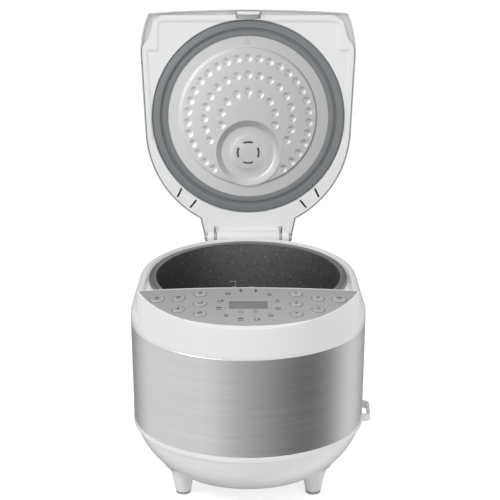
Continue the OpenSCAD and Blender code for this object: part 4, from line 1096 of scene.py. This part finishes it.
# the cover plate lies in the liner and laps the barrel
flap = [(143.6, 242.4), (143.6, 240.9), (144.0, 240.5), (147.5, 240.2), (149.6, 238.2)]
flap += about_hinge(9.7, 196, 292, 18) + about_hinge(9.0, 292, 196, 18) + [(150.9, 239.2), (150.4, 242.4)]
flap = opened(along_x(flap, -41.1, 41.1, 0.25))
piece("hinge_cover_skin", flap, "lid_white", "lid", replaces=("hinge_cover",))

# ---- gasket: a flat ring on the inner lid's edge, a raised lip that meets the pot, and an outer bead
SHEET_Z = FACE_Z - 2
# (radius, height over the inner lid's sheet)
GASKET = [(105.5, 0.3), (105.5, -0.6), (106.0, -1.0), (111.6, -1.15), (112.4, -0.7), (112.8, 0.2),
          (113.1, 1.1), (115.3, 1.1), (115.8, -0.6), (116.4, -1.6), (119.0, -1.85), (120.4, -1.5),
          (122.2, -0.9), (124.2, -0.7), (125.2, -0.3), (125.7, 0.5), (126.1, 0.7), (126.5, 0.9),
          (126.5, 1.9), (112.4, 1.9), (112.4, 0.3)]
gasket = revolve([(r, SHEET_Z + z) for r, z in GASKET], 200)
piece("gasket_ring", opened(gasket), "gasket", "inner_lid", 50, replaces=("inner_lid_gasket",))

# ---- inner lid: a stepped disc with three rings of dents and the steam cup
SHEET_R, DISH_R, DISH_Z = 112.0, 90.0, SHEET_Z - 2.5
DENT_R, DENT_H, DENT_MID = 4.7, 2.0, np.array([0.0, 3.6])
DENT_BALL = (DENT_R**2 + DENT_H**2) / (2 * DENT_H)
# three rings of dents about the middle: radius, count and the turn they take to either side, in degrees
DENT_RINGS = ((80, 29, 145), (58, 17, 119), (36, 9, 103))
DENTS = [arc(DENT_MID, r, -90 - turn, -90 + turn, count)[0] for r, count, turn in DENT_RINGS]
DENTS = np.vstack(DENTS)
CUP_R, DISH_CROWN = 43.0, 1.6


def disc_z(p):
    """Height of the disc's face: the outer step, the slightly crowned dish and the dents."""
    r = np.linalg.norm(p, axis=1)
    z = DISH_Z + 2.5 * ease(r - DISH_R, 3.0) - DISH_CROWN * np.maximum(1 - (r / DISH_R) ** 2, 0)
    d = np.linalg.norm(p[:, None] - DENTS, axis=2).min(1)
    cap = np.sqrt(np.maximum(DENT_BALL**2 - d**2, 0)) - (DENT_BALL - DENT_H)
    soft = 0.35 * (1 - ease(d - DENT_R - 0.2, 1.6))
    return z + np.where(d < DENT_R + 1, np.maximum(cap, 0) * 0.58 + soft, 0)


def disc_rings(lift):
    u = circle(1.0, 540)
    rs = np.concatenate([np.linspace(4, 28, 5), np.linspace(29.5, 88, 62), np.linspace(88.6, 94.4, 13),
                         [97, 103, SHEET_R]])
    return [at_z(u * r, disc_z(u * r) + lift) for r in rs]


disc = opened(shell(disc_rings(1.0) + disc_rings(0.0)[::-1]))
disc_piece = piece("inner_lid_disc", disc, "inner", "inner_lid", 28, replaces=("inner_lid",))
cup_hole = prism(circle(CUP_R + 0.2, 144), DISH_Z - 4, SHEET_Z + 4, (0, STEAM_Y))
cut(disc_piece, opened(cup_hole), angle=28)
# (radius, height over the dish) from the cup's rim down its wall, across its floor and back behind
CUP = [(44.2, -0.3), (43.8, -1.25), (CUP_R, -1.4), (42.2, -1.2), (41.6, -0.5), (35.8, 5.3), (34.8, 5.9),
       (33.4, 6.1), (23.0, 6.1), (22.2, 5.9), (21.4, 5.7), (0.5, 5.7), (0.5, 7.0), (35.0, 7.0),
       (43.1, 1.6), (44.0, 1.0)]
cup = revolve([(r, DISH_Z + z) for r, z in CUP], 160, (0, STEAM_Y))
cup_piece = piece("steam_cup", opened(cup), "inner", "inner_lid", 28)


def arc_slot(r0, r1, mid, half):
    """A slot bent round the cup's middle."""
    outside = arc((0, STEAM_Y), r1, mid - half, mid + half, 16)[0]
    inside = arc((0, STEAM_Y), r0, mid + half, mid - half, 16)[0]
    return np.vstack([outside, inside])


steam_slots = [prism(arc_slot(12.7, 15.4, mid, 27), DISH_Z, SHEET_Z + 8) for mid in (0, 90, 180, 270)]
cut(cup_piece, *(opened(slot) for slot in steam_slots), angle=28)


def band_of(plan, w, z0, z1):
    """A flat closed line of width w along an outline."""
    inner_line = plan - w * normals(plan)
    return shell([at_z(plan, z0), at_z(plan, z1), at_z(inner_line, z1), at_z(inner_line, z0)], loop=True)


def triangle(c, r):
    corners = [np.array(c) + r * np.array([math.sin(rad(a)), math.cos(rad(a))]) for a in (180, 60, -60)]
    q = []
    for a, b in zip(corners, corners[1:] + corners[:1]):
        q += [a + (b - a) * t for t in np.linspace(0, 1, 8, endpoint=False)]
    return np.array(q)


mark = band_of(triangle((-1.5, -97.5), 4.6), 0.8, SHEET_Z - 0.06, SHEET_Z + 0.05)
piece("lid_mark", opened(mark), "lid_print", "inner_lid")

# ------------ floor, world, light, camera
def floor_material():
    """White to the camera, with the object's shadow on it; reflections look past it to the studio."""
    m = Mat("floor").put(Roughness=0.6, Specular_IOR_Level=0.2)
    m.colour(m.ramp(m.noise(3, 2), [(0.3, (0.80, 0.80, 0.80)), (0.7, (0.82, 0.82, 0.82))]))
    ray = m.node("LightPath").outputs
    strength = m.math("MULTIPLY", ray["Is Camera Ray"], FLOOR_GLOW)
    glow = m.node("Emission", {"Color": (1, 1, 1), "Strength": strength})
    both = m.node("AddShader", {0: m.b.outputs[0], 1: glow.outputs[0]})
    clear = m.node("BsdfTransparent")
    seen = m.node("MixShader", {0: ray["Is Glossy Ray"], 1: both.outputs[0], 2: clear.outputs[0]})
    m.feed(m.t.nodes["Material Output"].inputs["Surface"], seen.outputs[0])
    return m.m


FLOOR_GLOW = 0.62
FLOOR_HALF, FLOOR_Z = 6, -0.0005
corners = [(x * FLOOR_HALF, y * FLOOR_HALF, FLOOR_Z) for x, y in ((-1, -1), (1, -1), (1, 1), (-1, 1))]
ob = mesh_object("floor", corners, [(0, 1, 2, 3)])
ob.data.materials.append(floor_material())

AMBIENT = (0.50, 0.50, 0.50)
# what reflections see round the object: (turn in degrees, brightness)
STUDIO = [(-180, 0.12), (-148, 0.22), (-118, 0.95), (-92, 2.6), (-64, 2.1), (-38, 1.0), (-12, 0.60),
          (14, 0.44), (38, 0.24), (60, 0.12), (82, 0.28), (102, 0.85), (124, 1.2), (150, 0.32), (180, 0.12)]


def studio_world():
    """White to the camera, even to diffuse light, and soft strips of a studio to reflections."""
    w = bpy.data.worlds.new("studio")
    bpy.context.scene.world = w
    w.use_nodes = True
    g = Nodes(w.node_tree)
    way = g.node("SeparateXYZ", {0: g.co.outputs["Generated"]}).outputs
    turn = g.math("ARCTAN2", way["X"], g.math("MULTIPLY", way["Y"], -1))
    stops = [((a + 180) / 360, (v, v, v)) for a, v in STUDIO]
    strips = g.ramp(g.range(turn, 0.0, 1.0, -math.pi, math.pi), stops, "B_SPLINE")
    ray = g.node("LightPath").outputs
    lit = g.mix(ray["Is Glossy Ray"], AMBIENT, strips)
    background = g.t.nodes["Background"].inputs
    g.feed(background["Color"], g.mix(ray["Is Camera Ray"], lit, (1, 1, 1)))
    background["Strength"].default_value = 1.0


studio_world()


def area(name, loc, aim, size, power):
    d = bpy.data.lights.new(name, "AREA")
    d.shape = "RECTANGLE"
    d.size, d.size_y = size
    d.energy = power
    ob = add(name, d)
    ob.location = loc
    ob.rotation_euler = (Vector(aim) - Vector(loc)).to_track_quat("-Z", "Y").to_euler()


# place, aim, size in metres and power in watts
area("key_light", (-1.5, -1.2, 1.9), (0, 0, 0.3), (0.9, 0.9), 23)
area("fill_light", (1.5, -2.2, 1.0), (0, 0, 0.22), (1.4, 1.4), 15)
area("top_light", (0.3, 0.2, 2.4), (0, 0, 0.2), (2.0, 2.0), 9)

# the camera's place and aim, its lens and sensor width in millimetres, and its sideways shift
CAM_AT, CAM_AIM = (0, -2438.06, 1179.15), (0, 0, 275.9)
FOCAL, SENSOR, SHIFT = 150.97, 36, 0.0036
cam_data = bpy.data.cameras.new("camera")
cam_data.lens = FOCAL
cam_data.sensor_width = SENSOR
cam_data.shift_x = SHIFT
cam = add("camera", cam_data)
cam.location = to_world(CAM_AT)
cam.rotation_euler = (Vector(to_world(CAM_AIM)) - cam.location).to_track_quat("-Z", "Y").to_euler()
bpy.context.scene.camera = cam
bpy.context.scene.view_settings.view_transform = "Standard"
